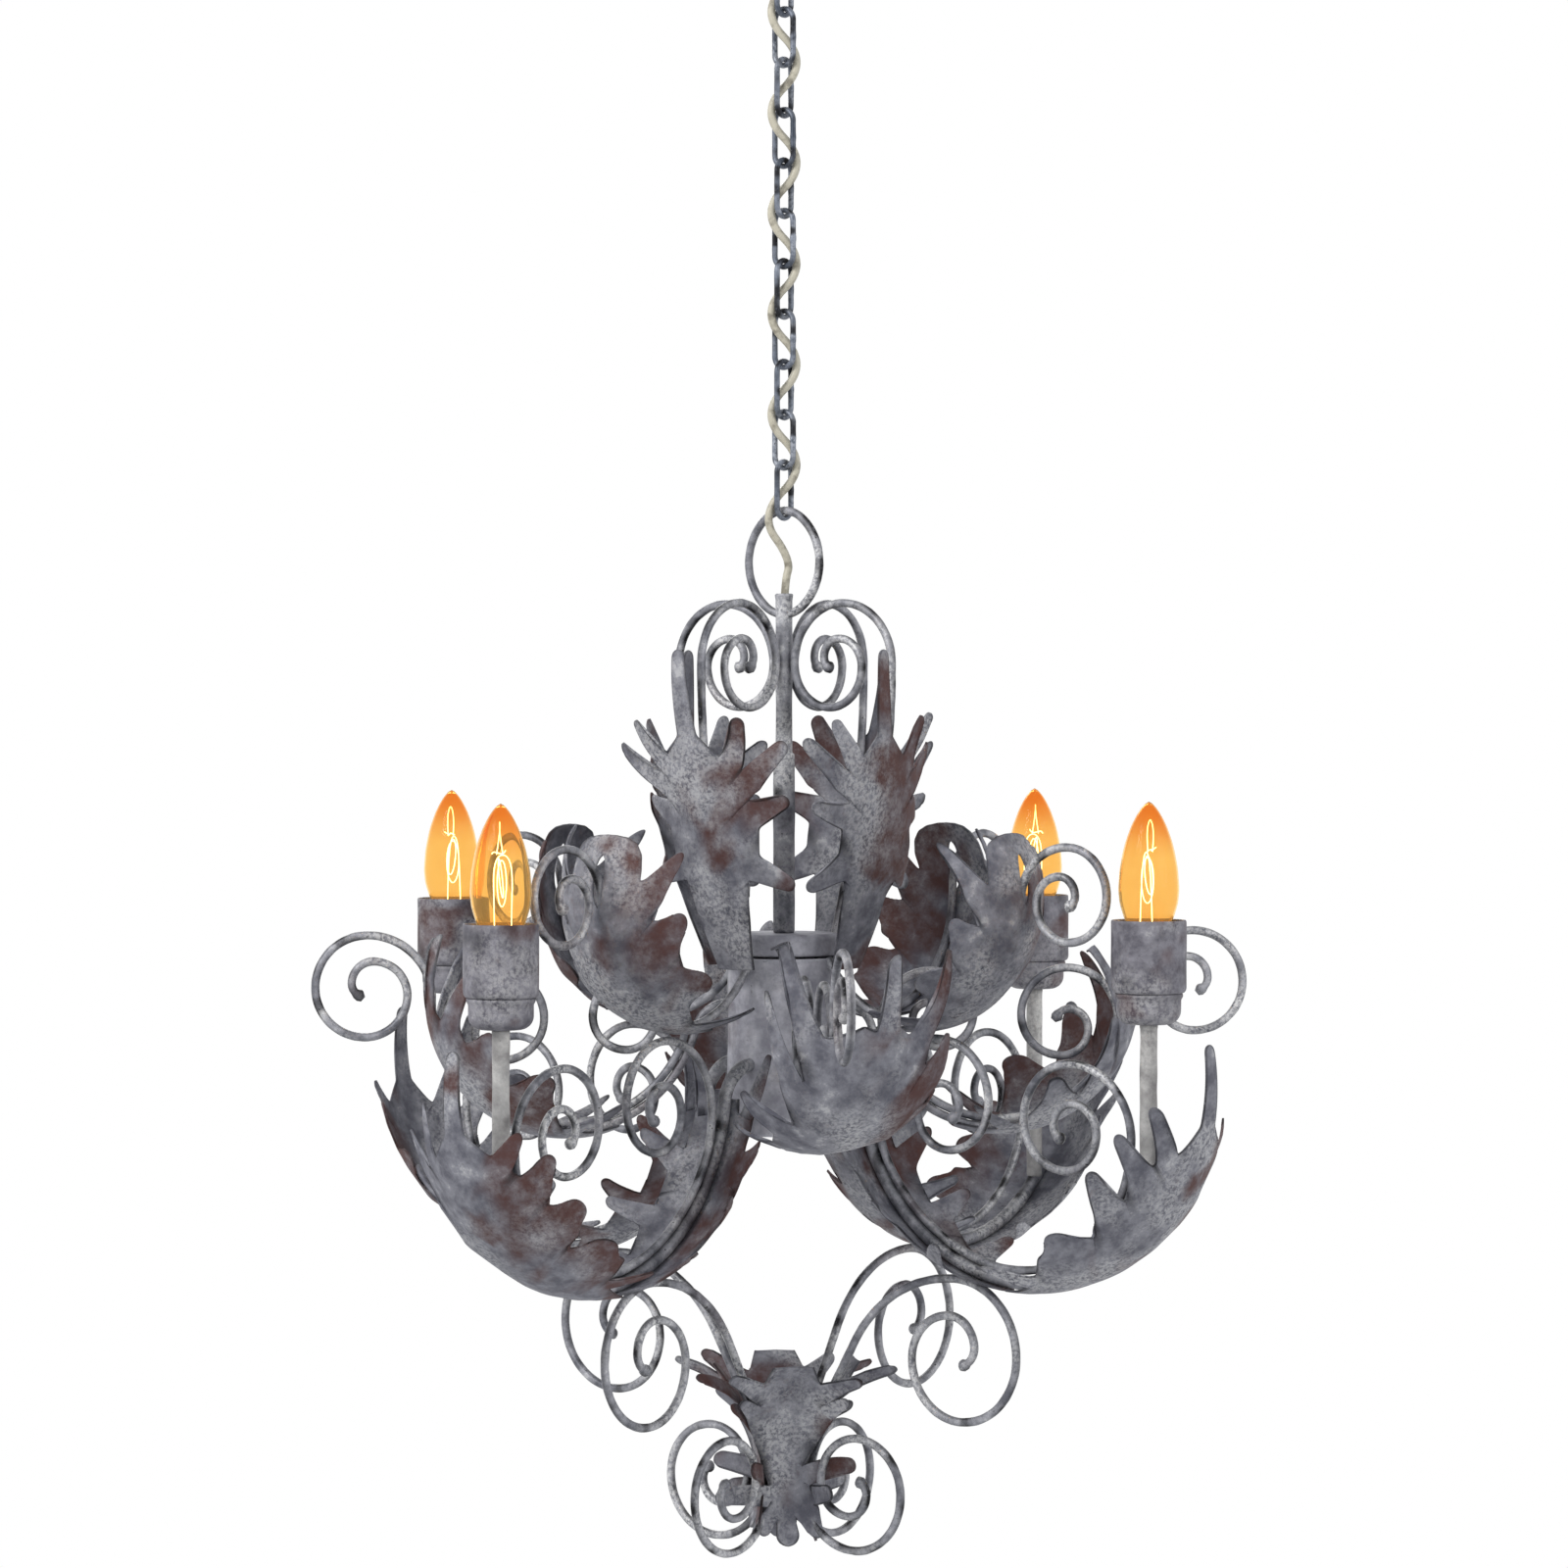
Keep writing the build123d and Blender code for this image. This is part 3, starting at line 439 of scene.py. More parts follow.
@dataclass
class Workshop:
    """Places finished pieces on the part's bodies and keeps one material for each finish."""

    materials: dict[Finish, bpy.types.Material] = field(default_factory=dict)

    def material(self, finish: Finish) -> bpy.types.Material:
        """The finish's material, built when it is first asked for."""
        if finish not in self.materials:
            self.materials[finish] = finish.value.build()
        return self.materials[finish]

    def dress(self, piece: bpy.types.Object, finish: Finish, nodes: tuple[str, ...]) -> None:
        """Give a new piece its material and slot, and hide the nodes it stands for."""
        piece.data.materials.append(self.material(finish))
        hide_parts(*nodes)
        LOG.info("%s stands for %s", piece.name, ", ".join(nodes))

    def place(
        self,
        name: str,
        surfaces: list[Surface],
        finish: Finish,
        body: str,
        nodes: tuple[str, ...],
        sheet_mm: float = 0.0,
    ) -> bpy.types.Object:
        """Make a rigid piece and set it on its body.

        Args:
            name: the piece's name.
            surfaces: the grids that make it up.
            finish: its finish.
            body: the body that it moves with.
            nodes: the part's nodes that it stands for.
            sheet_mm: thickness of a sheet, or 0 for a closed shape.

        Returns:
            The placed piece.
        """
        piece = mesh_object(name, surfaces)
        if sheet_mm:
            wall = piece.modifiers.new("sheet", "SOLIDIFY")
            wall.thickness = sheet_mm * MM
            wall.offset = 0
        self.dress(piece, finish, nodes)
        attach(piece, body)
        return piece

    def keep(self, node: str, finish: Finish) -> None:
        """Leave a node of the part showing, in a better finish."""
        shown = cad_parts[node]
        if not shown.material_slots:
            shown.data.materials.append(None)
        for slot in shown.material_slots:
            slot.material = self.material(finish)
        LOG.info("%s stays, dressed", node)


def route(start: Point, heading: float, moves: Moves, step: float = 1.5) -> Array:
    """Line of straights and tangent arcs in a plane of radius and height.

    On an arc the heading turns evenly and the point is the arc's centre plus its radius times the normal;
    a straight keeps its heading.

    Args:
        start: radius and height of the first point.
        heading: first direction in degrees from straight out.
        moves: (radius, turn in degrees) of an arc, or (length, 0) of a straight.
        step: spacing of the points in mm.

    Returns:
        Points (n, 2) along the line.
    """
    point = np.array(start, float)
    angle = radians(heading)
    runs = [point[None]]
    for size, turn in moves:
        sweep_angle = radians(turn)
        length = size * abs(sweep_angle) if turn else size
        share = np.linspace(0, 1, max(4, int(length / step)))[1:, None]
        if turn:
            side = size * np.sign(turn)
            centre = point + side * np.array([-sin(angle), cos(angle)])
            bearing = angle + sweep_angle * share
            run = centre + side * np.concatenate([np.sin(bearing), -np.cos(bearing)], axis=1)
            angle += sweep_angle
        else:
            run = point + size * share * np.array([cos(angle), sin(angle)])
        runs.append(run)
        point = run[-1]
    return np.concatenate(runs)


def two_way(start: Point, heading: float, ahead: Moves, behind: Moves) -> Array:
    """One line through start: the moves behind it, reversed, and then the moves ahead."""
    back = route(start, heading + 180, behind)
    return np.concatenate([back[::-1], route(start, heading, ahead)[1:]])


def quarters(radii: tuple[float, ...], sign: int) -> Moves:
    """Quarter turns of the given radii, anticlockwise for sign +1."""
    return [(radius, 90.0 * sign) for radius in radii]


@dataclass(frozen=True)
class Bend:
    """Round bend of a bar: the radius and the drop of its centre, and its own radius."""

    r: float
    drop: float
    size: float

    def centre(self) -> Point:
        """Radius and height of the centre."""
        return self.r, level(self.drop)

    def at(self, angle: float, size: float = 0.0) -> Point:
        """Point on the bend, or on a circle of another size, at an angle in degrees from straight out."""
        reach = size or self.size
        return self.r + reach * cos(radians(angle)), level(self.drop) + reach * sin(radians(angle))


UPPER_BEND = Bend(80.0 - 467.0, 94.0, 467.0)
MID_BEND = Bend(98.0, 232.0, 75.0)
ARM_BEND = Bend(178.0, 332.0, 122.0)
SIDE_BEND = Bend(131.0, 293.0, 80.0)
ARM_SPINE = ARM_BEND.size + ARM_TUBE / 2 + SEAT_GAP


def stood(out: Array, aside: Array | float, height: Array, angle: float) -> Array:
    """Points given outwards, aside and up in an arm's own frame, turned to its direction in degrees."""
    turn = radians(angle)
    x, y = out * cos(turn) - aside * sin(turn), out * sin(turn) + aside * cos(turn)
    return np.stack([x, y, height], axis=-1)


def length_along(points: Array) -> Array:
    """Length from the first point to each point of a line."""
    return np.concatenate([[0], np.cumsum(np.linalg.norm(np.diff(points, axis=0), axis=1))])


def resampled(rows: Array, run: Array, count: int, kernel: Array) -> Array:
    """Rows at even lengths, rounded by a moving average that leaves the last row as it is.

    Args:
        rows: values (n, k) along a line.
        run: length from the start to each row.
        count: number of rows wanted.
        kernel: weights of the average, an odd number of them.

    Returns:
        Values (count, k).
    """
    where = np.linspace(0, run[-1], count)
    even = np.stack([np.interp(where, run, column) for column in rows.T], axis=1)
    pad = len(kernel) // 2
    padded = np.pad(even, ((pad, pad), (0, 0)), mode="edge")
    soft = np.stack([np.convolve(column, kernel / kernel.sum(), "valid") for column in padded.T], axis=1)
    soft[-1] = even[-1]
    return soft


def sweep(path: Array, side: tuple[float, float, float], radius: Array, columns: int, closed: bool = False) -> Array:
    """Tube along a path: each ring is the point plus the radius times cos and sin of the two cross directions.

    Args:
        path: points (n, 3) in mm.
        side: a direction that the path doesn't run along.
        radius: one radius for each point.
        columns: points round each ring.
        closed: whether the path joins its own start.

    Returns:
        Points (n, columns, 3).
    """
    ends = np.concatenate([path[-1:], path, path[:1]]) if closed else path
    tangent = np.gradient(ends, axis=0)
    tangent = tangent[1:-1] if closed else tangent
    tangent /= np.linalg.norm(tangent, axis=1, keepdims=True)
    normal = np.cross(np.array(side), tangent)
    normal /= np.linalg.norm(normal, axis=1, keepdims=True)
    across = np.cross(tangent, normal)
    turn = np.linspace(0, 2 * pi, columns, endpoint=False)[None, :, None]
    ring = normal[:, None] * np.cos(turn) + across[:, None] * np.sin(turn)
    return path[:, None] + radius[:, None, None] * ring


def hammered(points: Array, path: Array, depth: float, cell: float, seed: int) -> Array:
    """Dents of a hammer: each point moves along its own spoke from the path by a share of noise."""
    spoke = points - path[:, None]
    dent = lattice_noise(points, cell, seed) + 0.5 * lattice_noise(points, cell * 0.4, seed + 1)
    return path[:, None] + spoke * (1 + depth * dent)[..., None]


@dataclass(frozen=True)
class ForgedBar:
    """Round bar with hammer marks; each end is flat, or thickens to a small curled knob."""

    diameter: float = BAR
    knob: float = 3.7
    dent: float = 0.055
    dent_cell: float = 7.0
    patch_cell: float = 9.0
    rust_cell: float = 55.0
    columns: int = 12

    def surface(self, line: Array, angle: float, knobs: tuple[bool, bool], seed: int) -> Surface:
        """Bar along a plane line in one arm's direction.

        A knob's radius is that of a ball at the line's end, where it is more than the bar's.

        Args:
            line: points (n, 2) of radius and height.
            angle: the arm's direction in degrees.
            knobs: whether the first and the last end has a knob.
            seed: picks the hammer marks.

        Returns:
            The bar's surface, with its ends closed.
        """
        path = stood(line[:, 0], 0.0, line[:, 1], angle)
        run = length_along(path)
        radius = np.full(len(path), self.diameter / 2)
        for wanted, away in zip(knobs, (run, run[-1] - run)):
            ball = np.sqrt(np.clip(self.knob**2 - (away - self.knob) ** 2, 0, None))
            if wanted:
                radius = np.where(away < self.knob, ball, np.maximum(radius, ball))
        nudge = np.diff(path, axis=0)[[0, -1]] * 1e-3
        path = np.concatenate([path[:1] - nudge[:1], path, path[-1:] + nudge[1:]])
        radius = np.concatenate([[0], radius, [0]])
        turn = radians(angle)
        points = sweep(path, (sin(turn), -cos(turn), 0), radius, self.columns)
        points = hammered(points, path, self.dent, self.dent_cell, seed)
        spread = lattice_noise(points, self.patch_cell, seed + 5)
        # Painted shade: the bar darkens towards its two sides in its own plane, drawn as dark outlines; the rest of
        # the mark is random dark wear.
        edges = np.cos(np.linspace(0, 2 * pi, self.columns, endpoint=False)) ** 4
        painted_edge_shade = PAINTED_EDGE_SHADE * edges * (0.75 + 0.5 * spread)
        wear_and_shade = np.clip(0.6 * smooth_step(spread, 0.3, 0.8) + painted_edge_shade, 0, 1)
        rust = 0.6 * smooth_step(lattice_noise(points, self.rust_cell, seed + 9), 0.35, 0.8)
        return Surface(points, wear_and_shade, rust)


def ring_of_bars(bar: ForgedBar, line: Array, turn: float, knobs: tuple[bool, bool], seed: int) -> list[Surface]:
    """The same bar on every arm, each with its own hammer marks."""
    return [bar.surface(line, turn + ARM_STEP * arm, knobs, seed + 20 * arm) for arm in range(ARMS)]


@dataclass
class ScrollWork:
    """Forged scrolls and arms. Radii, levels and turns are those of the part's bars."""

    bar: ForgedBar = field(default_factory=ForgedBar)
    tube: ForgedBar = field(default_factory=lambda: ForgedBar(ARM_TUBE, dent=0.045, dent_cell=11.0, columns=16))
    root_r: float = CAN_R - 1.0
    upper_foot: float = 22.7
    foot_top_r: float = 126.0
    foot_loop: float = 44.0
    foot_over: Point = (84.5, 60.0)
    foot_run: float = 55.0
    foot_under: Point = (80.0, 30.0)

    def upper(self) -> Array:
        """Long lean arc from the can, over the top and into a spiral."""
        foot = self.upper_foot
        moves = [(UPPER_BEND.size, foot), (36.0, 180.0)] + quarters((26, 24, 17, 11, 7), 1)
        return route(UPPER_BEND.at(-foot), 90 - foot, moves)

    def middle(self) -> Array:
        """U under its leaf, then a spiral that turns outwards."""
        inset, bend = MID_BEND.r - self.root_r, MID_BEND.size
        reach = degrees(atan2(sqrt(bend**2 - inset**2), inset))
        moves = [(bend, 180 - reach)] + quarters((32, 28, 27, 22, 16, 11, 7), -1)
        return route(MID_BEND.at(180 + reach), 270 + reach, moves)

    def rooted(self, bend: Bend, root: float, moves: Moves) -> Array:
        """Arm that leaves the can level, turns down through an elbow and goes round its bend."""
        r, z = bend.at(root)
        turn = 270 - root
        elbow = (r - self.root_r) / sin(radians(turn))
        start = (self.root_r, z + elbow * (1 - cos(radians(turn))))
        return route(start, 0, [(elbow, -turn)] + moves)

    def candle_arm(self) -> Array:
        """Tube from the can, round below and up under the candle."""
        return self.rooted(ARM_BEND, 190.0, [(ARM_BEND.size, 130.0)])

    def scroll_arm(self) -> Array:
        """Bar from the can, round below its leaf and into a spiral."""
        moves = [(SIDE_BEND.size, 166.0)] + quarters((38, 31, 29.5, 25, 20, 13, 8), -1)
        return self.rooted(SIDE_BEND, 194.0, moves)

    def arm_lyre(self) -> Array:
        """Bar lying in the candle arm, with a scroll at both ends."""
        bend = ARM_BEND.size - ARM_TUBE / 2 - SEAT_GAP - BAR / 2
        split, turn_in = 258.0, 211.3
        out = [(79.5, 360 - split)] + quarters((42, 33, 29, 22, 17, 13, 8), 1)
        back = [(bend, turn_in - split), (65.3, 180 - turn_in)] + quarters((44, 36, 29, 22, 17, 13, 8), -1)
        return two_way(ARM_BEND.at(split, bend), split + 90, out, back)

    def scroll_arm_lyre(self) -> Array:
        """Bar lying in the scroll arm, with a scroll at both ends."""
        bend, spread = SIDE_BEND.size - BAR - SEAT_GAP, 70.0
        out = [(bend, spread), (31.0, 180 - spread)] + quarters((28, 25, 16, 12, 8), 1)
        back = [(bend, -spread), (30.0, spread - 180)] + quarters((26, 20, 17, 10, 7), -1)
        return two_way(SIDE_BEND.at(270, bend), 0, out, back)

    def foot_top(self) -> Point:
        """Radius and height of the foot scroll's top, where its loop hangs against the inner leaf."""
        reach = ARM_SPINE + LEAF_SHEET + self.foot_loop + BAR / 2 + SEAT_GAP
        drop = sqrt(reach**2 - (ARM_BEND.r - self.foot_top_r) ** 2)
        return self.foot_top_r, ARM_BEND.centre()[1] - drop + self.foot_loop

    def foot_waist(self) -> Point:
        """Radius and height of the foot scroll's waist, where its run turns down."""
        (over, first), (under, second) = self.foot_over, self.foot_under
        first, second = radians(first), radians(second)
        r, z = self.foot_top()
        inwards = over * sin(first) + self.foot_run * cos(first) + under * (1 - cos(second))
        return r - inwards, z - over * (1 - cos(first)) - self.foot_run * sin(first) - under * sin(second)

    def foot_leaf_r(self) -> float:
        """Radius of a foot leaf's outer face at the waist, where it rests on two scrolls."""
        seat = self.foot_waist()[0] * cos(radians(DIAGONAL))
        back = FOOT_CUP + LEAF_SHEET
        return seat + BAR / 2 + FOOT_LEAF_GAP - back + sqrt(back**2 - seat**2) + LEAF_SHEET

    def foot(self) -> Array:
        """Loop at the top, a run inwards and a spiral below."""
        loop = quarters((self.foot_loop, 40, 35, 27, 18, 11), -1)
        run = [self.foot_over, (self.foot_run, 0.0), self.foot_under]
        return two_way(self.foot_top(), 0, loop, run + quarters((37, 35, 32, 27, 20, 14, 8), 1))

    def build(self, shop: Workshop) -> None:
        """Place every bar and arm."""
        one, both = (False, True), (True, True)
        rows = (
            ("upper_scrolls", self.upper(), 0, one, 100),
            ("mid_scrolls", self.middle(), 0, one, 200),
            ("arm_lyres", self.arm_lyre(), 0, both, 300),
            ("scroll_arm_lyres", self.scroll_arm_lyre(), DIAGONAL, both, 400),
            ("foot_scrolls", self.foot(), 0, both, 500),
        )
        for node, line, turn, knobs, seed in rows:
            surfaces = ring_of_bars(self.bar, line, turn, knobs, seed)
            shop.place(f"forged_{node}", surfaces, Finish.BAR, "lamp", (node,))
        arms = (
            ("candle_arm", self.tube, self.candle_arm(), 0, (False, False), 600),
            ("scroll_arm", self.bar, self.scroll_arm(), DIAGONAL, one, 640),
        )
        for arm in range(ARMS):
            for kind, bar, line, turn, knobs, seed in arms:
                node = f"{kind}_{arm + 1}"
                surface = bar.surface(line, turn + ARM_STEP * arm, knobs, seed + arm)
                shop.place(f"forged_{node}", [surface], Finish.BAR, "lamp", (node,))


@dataclass(frozen=True)
class SheetLeaf:
    """Leaf cut from sheet with long round fingers, and cupped along a curved spine.

    s runs along the spine from its first angle and t across it, in mm. A finger is its root s and t, its tip
    s and t, and its widths at root and tip. base and top are (s, half width); a top of half width 0 is a notch.
    slot is the s, half length and half width of a hole on the spine, neck the length of a long narrow top finger,
    and sway how far the top leans aside, and the s where that starts and ends. stain adds to the leaf's rust.
    """

    axis: Point
    spine: float
    angles: Point
    cup: float
    base: Point
    fingers: Fingers
    top: Point
    left: Fingers = ()
    slot: tuple[float, float, float] = (0.0, 1.0, 0.0)
    neck: float = 0.0
    sway: tuple[float, float, float] = (0.0, 0.0, 1.0)
    stain: float = 0.0
    curl: float = 8.0
    wave: float = 1.8
    fan: float = 0.7
    bow: float = 0.07
    rows: int = 380
    jitter: float = 1.5
    rounding_mm: float = 5.0

    def finger(self, shape: tuple[float, ...], draw: np.random.Generator) -> Array:
        """One finger's edge: up its lower side, round its tip by a half circle, and down its upper side.

        The sides bow by 4 * u * (1 - u) of a share of the length, u being the way up the finger.

        Args:
            shape: the finger's row of the table.
            draw: gives the tip a small shift, and the finger its bow and its bend out of the sheet.

        Returns:
            Rows of edge s, t, midrib foot s, root s, t and bend.
        """
        root_s, root_t, tip_s, tip_t, root_w, tip_w = shape
        root = np.array([root_s, root_t])
        tip = np.array([tip_s, tip_t]) + draw.normal(0, self.jitter, 2)
        length = np.linalg.norm(tip - root)
        along = (tip - root) / length
        aside = np.array([-along[1], along[0]])
        bow = self.bow * length * draw.uniform(-0.4, 1.0)
        bend = draw.uniform(0.35, 1.0) * draw.choice((1.0, 1.0, -0.7)) * smooth_step(np.array(length), 8, 26)
        up = np.array([0.0, 0.2, 0.45, 0.7, 0.9])[:, None]
        middle = root + (tip - root) * up + aside * bow * 4 * up * (1 - up)
        half = (root_w + (tip_w - root_w) * up**0.75) / 2
        turn = np.linspace(0, pi, 9)[:, None]
        round_tip = tip + tip_w / 2 * (aside * np.cos(turn) + along * np.sin(turn))
        edge = np.concatenate([middle + aside * half, round_tip, (middle - aside * half)[::-1]])
        lateral = np.concatenate([np.ones((5, 1)), np.cos(turn), -np.ones((5, 1))])
        over_root = root + aside * lateral * root_w / 2 * 0.86
        foot = root_s - self.fan * root_t - lateral * root_w / 4
        share = np.concatenate([up, np.ones((9, 1)), up[::-1]])
        return np.concatenate([edge, foot, over_root, bend * share], axis=1)

    def outline(self, fingers: Fingers, draw: np.random.Generator) -> Array:
        """One side's edge from the base to the top, resampled evenly and rounded by a short moving average.

        Args:
            fingers: the side's fingers.
            draw: gives each finger its own shift, bow and bend.

        Returns:
            Array (rows, 6) of edge s, t, midrib foot s, root s, t and bend.
        """
        base_s, base_half = self.base
        top_s, top_half = self.top
        end = top_s + top_half
        parts = [np.array([[base_s, base_half, base_s, base_s, 0.8 * base_half, 0.0]])]
        parts += [self.finger(shape, draw) for shape in fingers]
        if self.neck:
            neck_s = top_s - self.neck
            parts.append(np.array([[neck_s, 1.5 * top_half, neck_s - 4, neck_s - 2, top_half, 0.0]]))
        if top_half:
            turn = np.linspace(0, 0.85, 5) * pi / 2
            arc = np.stack([top_s + top_half * np.sin(turn), top_half * np.cos(turn)], axis=1)
            foot = end - 1.6 * (end - arc[:, :1])
            via = (arc + foot * np.array([1.0, 0.0])) / 2
            parts.append(np.concatenate([arc, foot, via, 0 * foot], axis=1))
        parts.append(np.array([[end, 0.0, end, end, 0.0, 0.0]]))
        rows = np.concatenate(parts)
        rows[:, 2] = np.maximum.accumulate(np.clip(rows[:, 2], base_s, end))
        run = length_along(rows[:, :2])
        width = int(self.rounding_mm * self.rows / run[-1]) // 2 * 2 + 1
        return resampled(rows, run, self.rows, np.hanning(width + 2)[1:-1])

    def bent(self, s: Array, t: Array, lift: Array) -> Array:
        """Radius, across and height of sheet points.

        The sheet is a ring surface: its spine turns about the axis, its section is an arc of the cup's radius
        about the spine, and the outline is that seen from the middle of the spine. A swayed section also moves
        out by its sway squared over twice the cup's radius, which keeps it clear of the bar behind it.

        Args:
            s: places along the spine.
            t: places across it.
            lift: distance off the sheet, away from the axis.

        Returns:
            Array (..., 3).
        """
        first, last = np.radians(self.angles)
        middle = (first + last) / 2
        lean = t / self.cup
        rho = self.spine - self.cup * (1 - np.cos(lean))
        seen = self.spine * np.sin(s / self.spine + first - middle) / rho
        turn = middle + np.arcsin(np.clip(seen, -0.985, 0.985))
        aside = self.sway[0] * smooth_step(s, *self.sway[1:])
        out = self.spine - self.cup + (self.cup + lift) * np.cos(lean) + aside**2 / (2 * self.cup)
        across = (self.cup + lift) * np.sin(lean) + aside
        return np.stack([self.axis[0] + out * np.cos(turn), across, self.axis[1] + out * np.sin(turn)], axis=-1)

    def half(self, edge: Array, foot: Array, side: float, angle: float, seed: int) -> Surface:
        """One half of the leaf: rays run from the midrib to the finger's root and on to the edge.

        Along the slot the midrib opens to its half width times sqrt(1 - x * x), x being the share of its half
        length. Fingers bend off the sheet by the square of the way from root to edge.

        Args:
            edge: the side's outline.
            foot: the rays' places on the midrib, one for each row.
            side: 1 for the right side and -1 for the left.
            angle: the arm's direction in degrees.
            seed: picks the leaf's own waves and rust.

        Returns:
            The half's middle surface, its columns from left to right.
        """
        slot_s, slot_half, slot_width = self.slot
        opening = slot_width * np.sqrt(np.clip(1 - ((foot - slot_s) / slot_half) ** 2, 0, None))
        start = np.stack([foot, np.minimum(opening, edge[:, 1])], axis=1)[:, None]
        via, tip = edge[:, None, 3:5], edge[:, None, :2]
        inner = np.array([0.0, 0.3, 0.62])[None, :, None]
        outer = np.array([0.0, 0.25, 0.5, 0.75, 0.92, 1.0])[None, :, None]
        flat = np.concatenate([start + (via - start) * inner, via + (tip - via) * outer], axis=1)
        beyond = np.concatenate([np.zeros(3), outer[0, :, 0]])[None, :]
        if side < 0:
            flat, beyond = flat[:, ::-1], beyond[:, ::-1]
        s, t = flat[..., 0], flat[..., 1] * side
        place = np.stack([s, t, np.zeros_like(s)], axis=-1)
        free = smooth_step(np.abs(t), 5, 26)
        broad, short = lattice_noise(place, WAVE_CELL, seed), lattice_noise(place, RIPPLE_CELL, seed + 1)
        lift = self.wave * free * (broad + 0.5 * short)
        lift += self.curl * edge[:, 5:] * beyond**2
        out, aside, height = np.moveaxis(self.bent(s, t, lift + LEAF_SHEET / 2), -1, 0)
        to_edge = np.linalg.norm(flat - tip, axis=-1)
        wear_and_shade = 0.55 + 0.45 * lattice_noise(place, WEAR_CELL, seed + 6)
        wear_and_shade *= 1 - smooth_step(to_edge, 0.2, EDGE_WEAR_MM)
        patch = lattice_noise(place, WAVE_CELL, seed + 3) + 0.6 * lattice_noise(place, STAIN_CELL, seed + 4)
        rust = smooth_step(0.8 * patch + RUST_LEAN * t + self.stain, 0.2, 0.75)
        return Surface(stood(out, aside, height, angle), wear_and_shade, rust, round_columns=False)

    def surfaces(self, angle: float, seed: int) -> list[Surface]:
        """Both halves of the leaf on the arm at an angle in degrees, with draws of its own from the seed."""
        draw = np.random.default_rng(seed)
        left = self.outline(self.left or self.fingers, draw)
        right = self.outline(self.fingers, draw)
        foot = (left[:, 2] + right[:, 2]) / 2
        return [self.half(edge, foot, side, angle, seed) for edge, side in ((left, -1.0), (right, 1.0))]


@dataclass
class Foliage:
    """The six rings of leaves."""

    scrolls: ScrollWork

    def leaves(self) -> dict[str, tuple[list[SheetLeaf], float]]:
        """Each ring's leaves and the turn of its first arm in degrees."""
        snug = BAR / 2 + SEAT_GAP
        upper = SheetLeaf(
            UPPER_BEND.centre(), UPPER_BEND.size + snug, (-self.scrolls.upper_foot, 1.4), 110.0, (0, 13),
            ((64, 27, 54, 48, 18, 9), (96, 31, 102, 53, 18, 8), (116, 35, 134, 57, 15, 8), (128, 26, 149, 37, 15, 8)),
            (190, 4.5), neck=46.0, sway=(-14.0, 70.0, 190.0), wave=2.4,
        )
        middle = SheetLeaf(
            MID_BEND.centre(), MID_BEND.size + snug, (-98, 33), 55.0, (0, 12),
            ((30, 22, 24, 40, 14, 8), (72, 38, 72, 43, 36, 20), (106, 39, 109, 44, 28, 14),
             (134, 33, 144, 41, 21, 10)),
            (148, 26),
            ((30, 22, 22, 36, 14, 7), (72, 38, 72, 44, 36, 18), (104, 39, 110, 46, 26, 12),
             (132, 35, 146, 47, 20, 9)),
            (146.0, 15.0, 4.0),
        )
        outer = SheetLeaf(
            ARM_BEND.centre(), ARM_SPINE, (-91, 14), 62.0, (0, 16),
            ((36, 32, 26, 48, 14, 8), (74, 47, 74, 52, 36, 20), (110, 47, 111, 55, 30, 16),
             (138, 42, 144, 50, 22, 12), (156, 26, 168, 36, 16, 8)),
            (218, 4.5),
            ((36, 32, 26, 46, 16, 7), (76, 45, 78, 54, 34, 14), (114, 45, 128, 62, 20, 8), (140, 38, 154, 56, 18, 8),
             (154, 26, 176, 40, 15, 8)),
            neck=42.0,
        )
        inner = SheetLeaf(
            ARM_BEND.centre(), ARM_SPINE, (176, 266), 50.0, (28, 7),
            ((42, 15, 10, 22, 14, 7), (72, 26, 64, 46, 18, 7), (112, 28, 108, 48, 18, 7), (152, 24, 148, 42, 16, 7)),
            (188, 8),
        )
        side = SheetLeaf(
            SIDE_BEND.centre(), SIDE_BEND.size + snug, (-110, 15), 60.0, (0, 14),
            ((34, 28, 26, 44, 16, 8), (72, 50, 74, 62, 32, 16), (108, 48, 115, 60, 28, 14),
             (136, 36, 154, 50, 20, 10), (150, 14, 183, 18, 14, 8)),
            (154, 0),
            ((34, 26, 24, 42, 14, 6), (70, 42, 74, 62, 24, 9), (104, 42, 120, 58, 20, 8), (132, 36, 153, 57, 16, 8),
             (150, 14, 184, 18, 14, 8)),
        )
        front = replace(
            side, sway=(17.0, 15.0, 110.0), stain=-0.1,
            left=((34, 24, 22, 40, 14, 6), (74, 34, 82, 62, 20, 8), (108, 40, 134, 64, 20, 8),
                  (140, 32, 178, 46, 20, 8)),
        )
        foot = SheetLeaf(
            (self.scrolls.foot_leaf_r() + FOOT_SPINE, self.scrolls.foot_waist()[1]),
            FOOT_SPINE, (127, 209), FOOT_CUP, (16, 12),
            ((36, 21, 22, 39, 14, 8), (52, 22, 45, 31, 12, 7), (92, 11, 84, 38, 13, 9), (114, 12, 124, 16, 16, 9)),
            (127, 7),
            ((34, 21, 18, 40, 14, 8), (50, 22, 43, 31, 12, 7), (104, 11, 99, 38, 13, 9), (117, 12, 124, 15, 12, 8)),
            curl=4.0,
        )
        return {
            "upper_leaves": ([replace(upper, stain=0.25), upper, upper, upper], 0),
            "mid_leaves": ([middle, middle, middle, replace(middle, stain=0.2)], 0),
            "arm_outer_leaves": ([outer] * ARMS, 0),
            "arm_inner_leaves": ([inner] * ARMS, 0),
            "scroll_arm_leaves": ([side, side, side, front], DIAGONAL),
            "foot_leaves": ([foot, foot, replace(foot, stain=0.5), replace(foot, stain=-0.2)], DIAGONAL),
        }

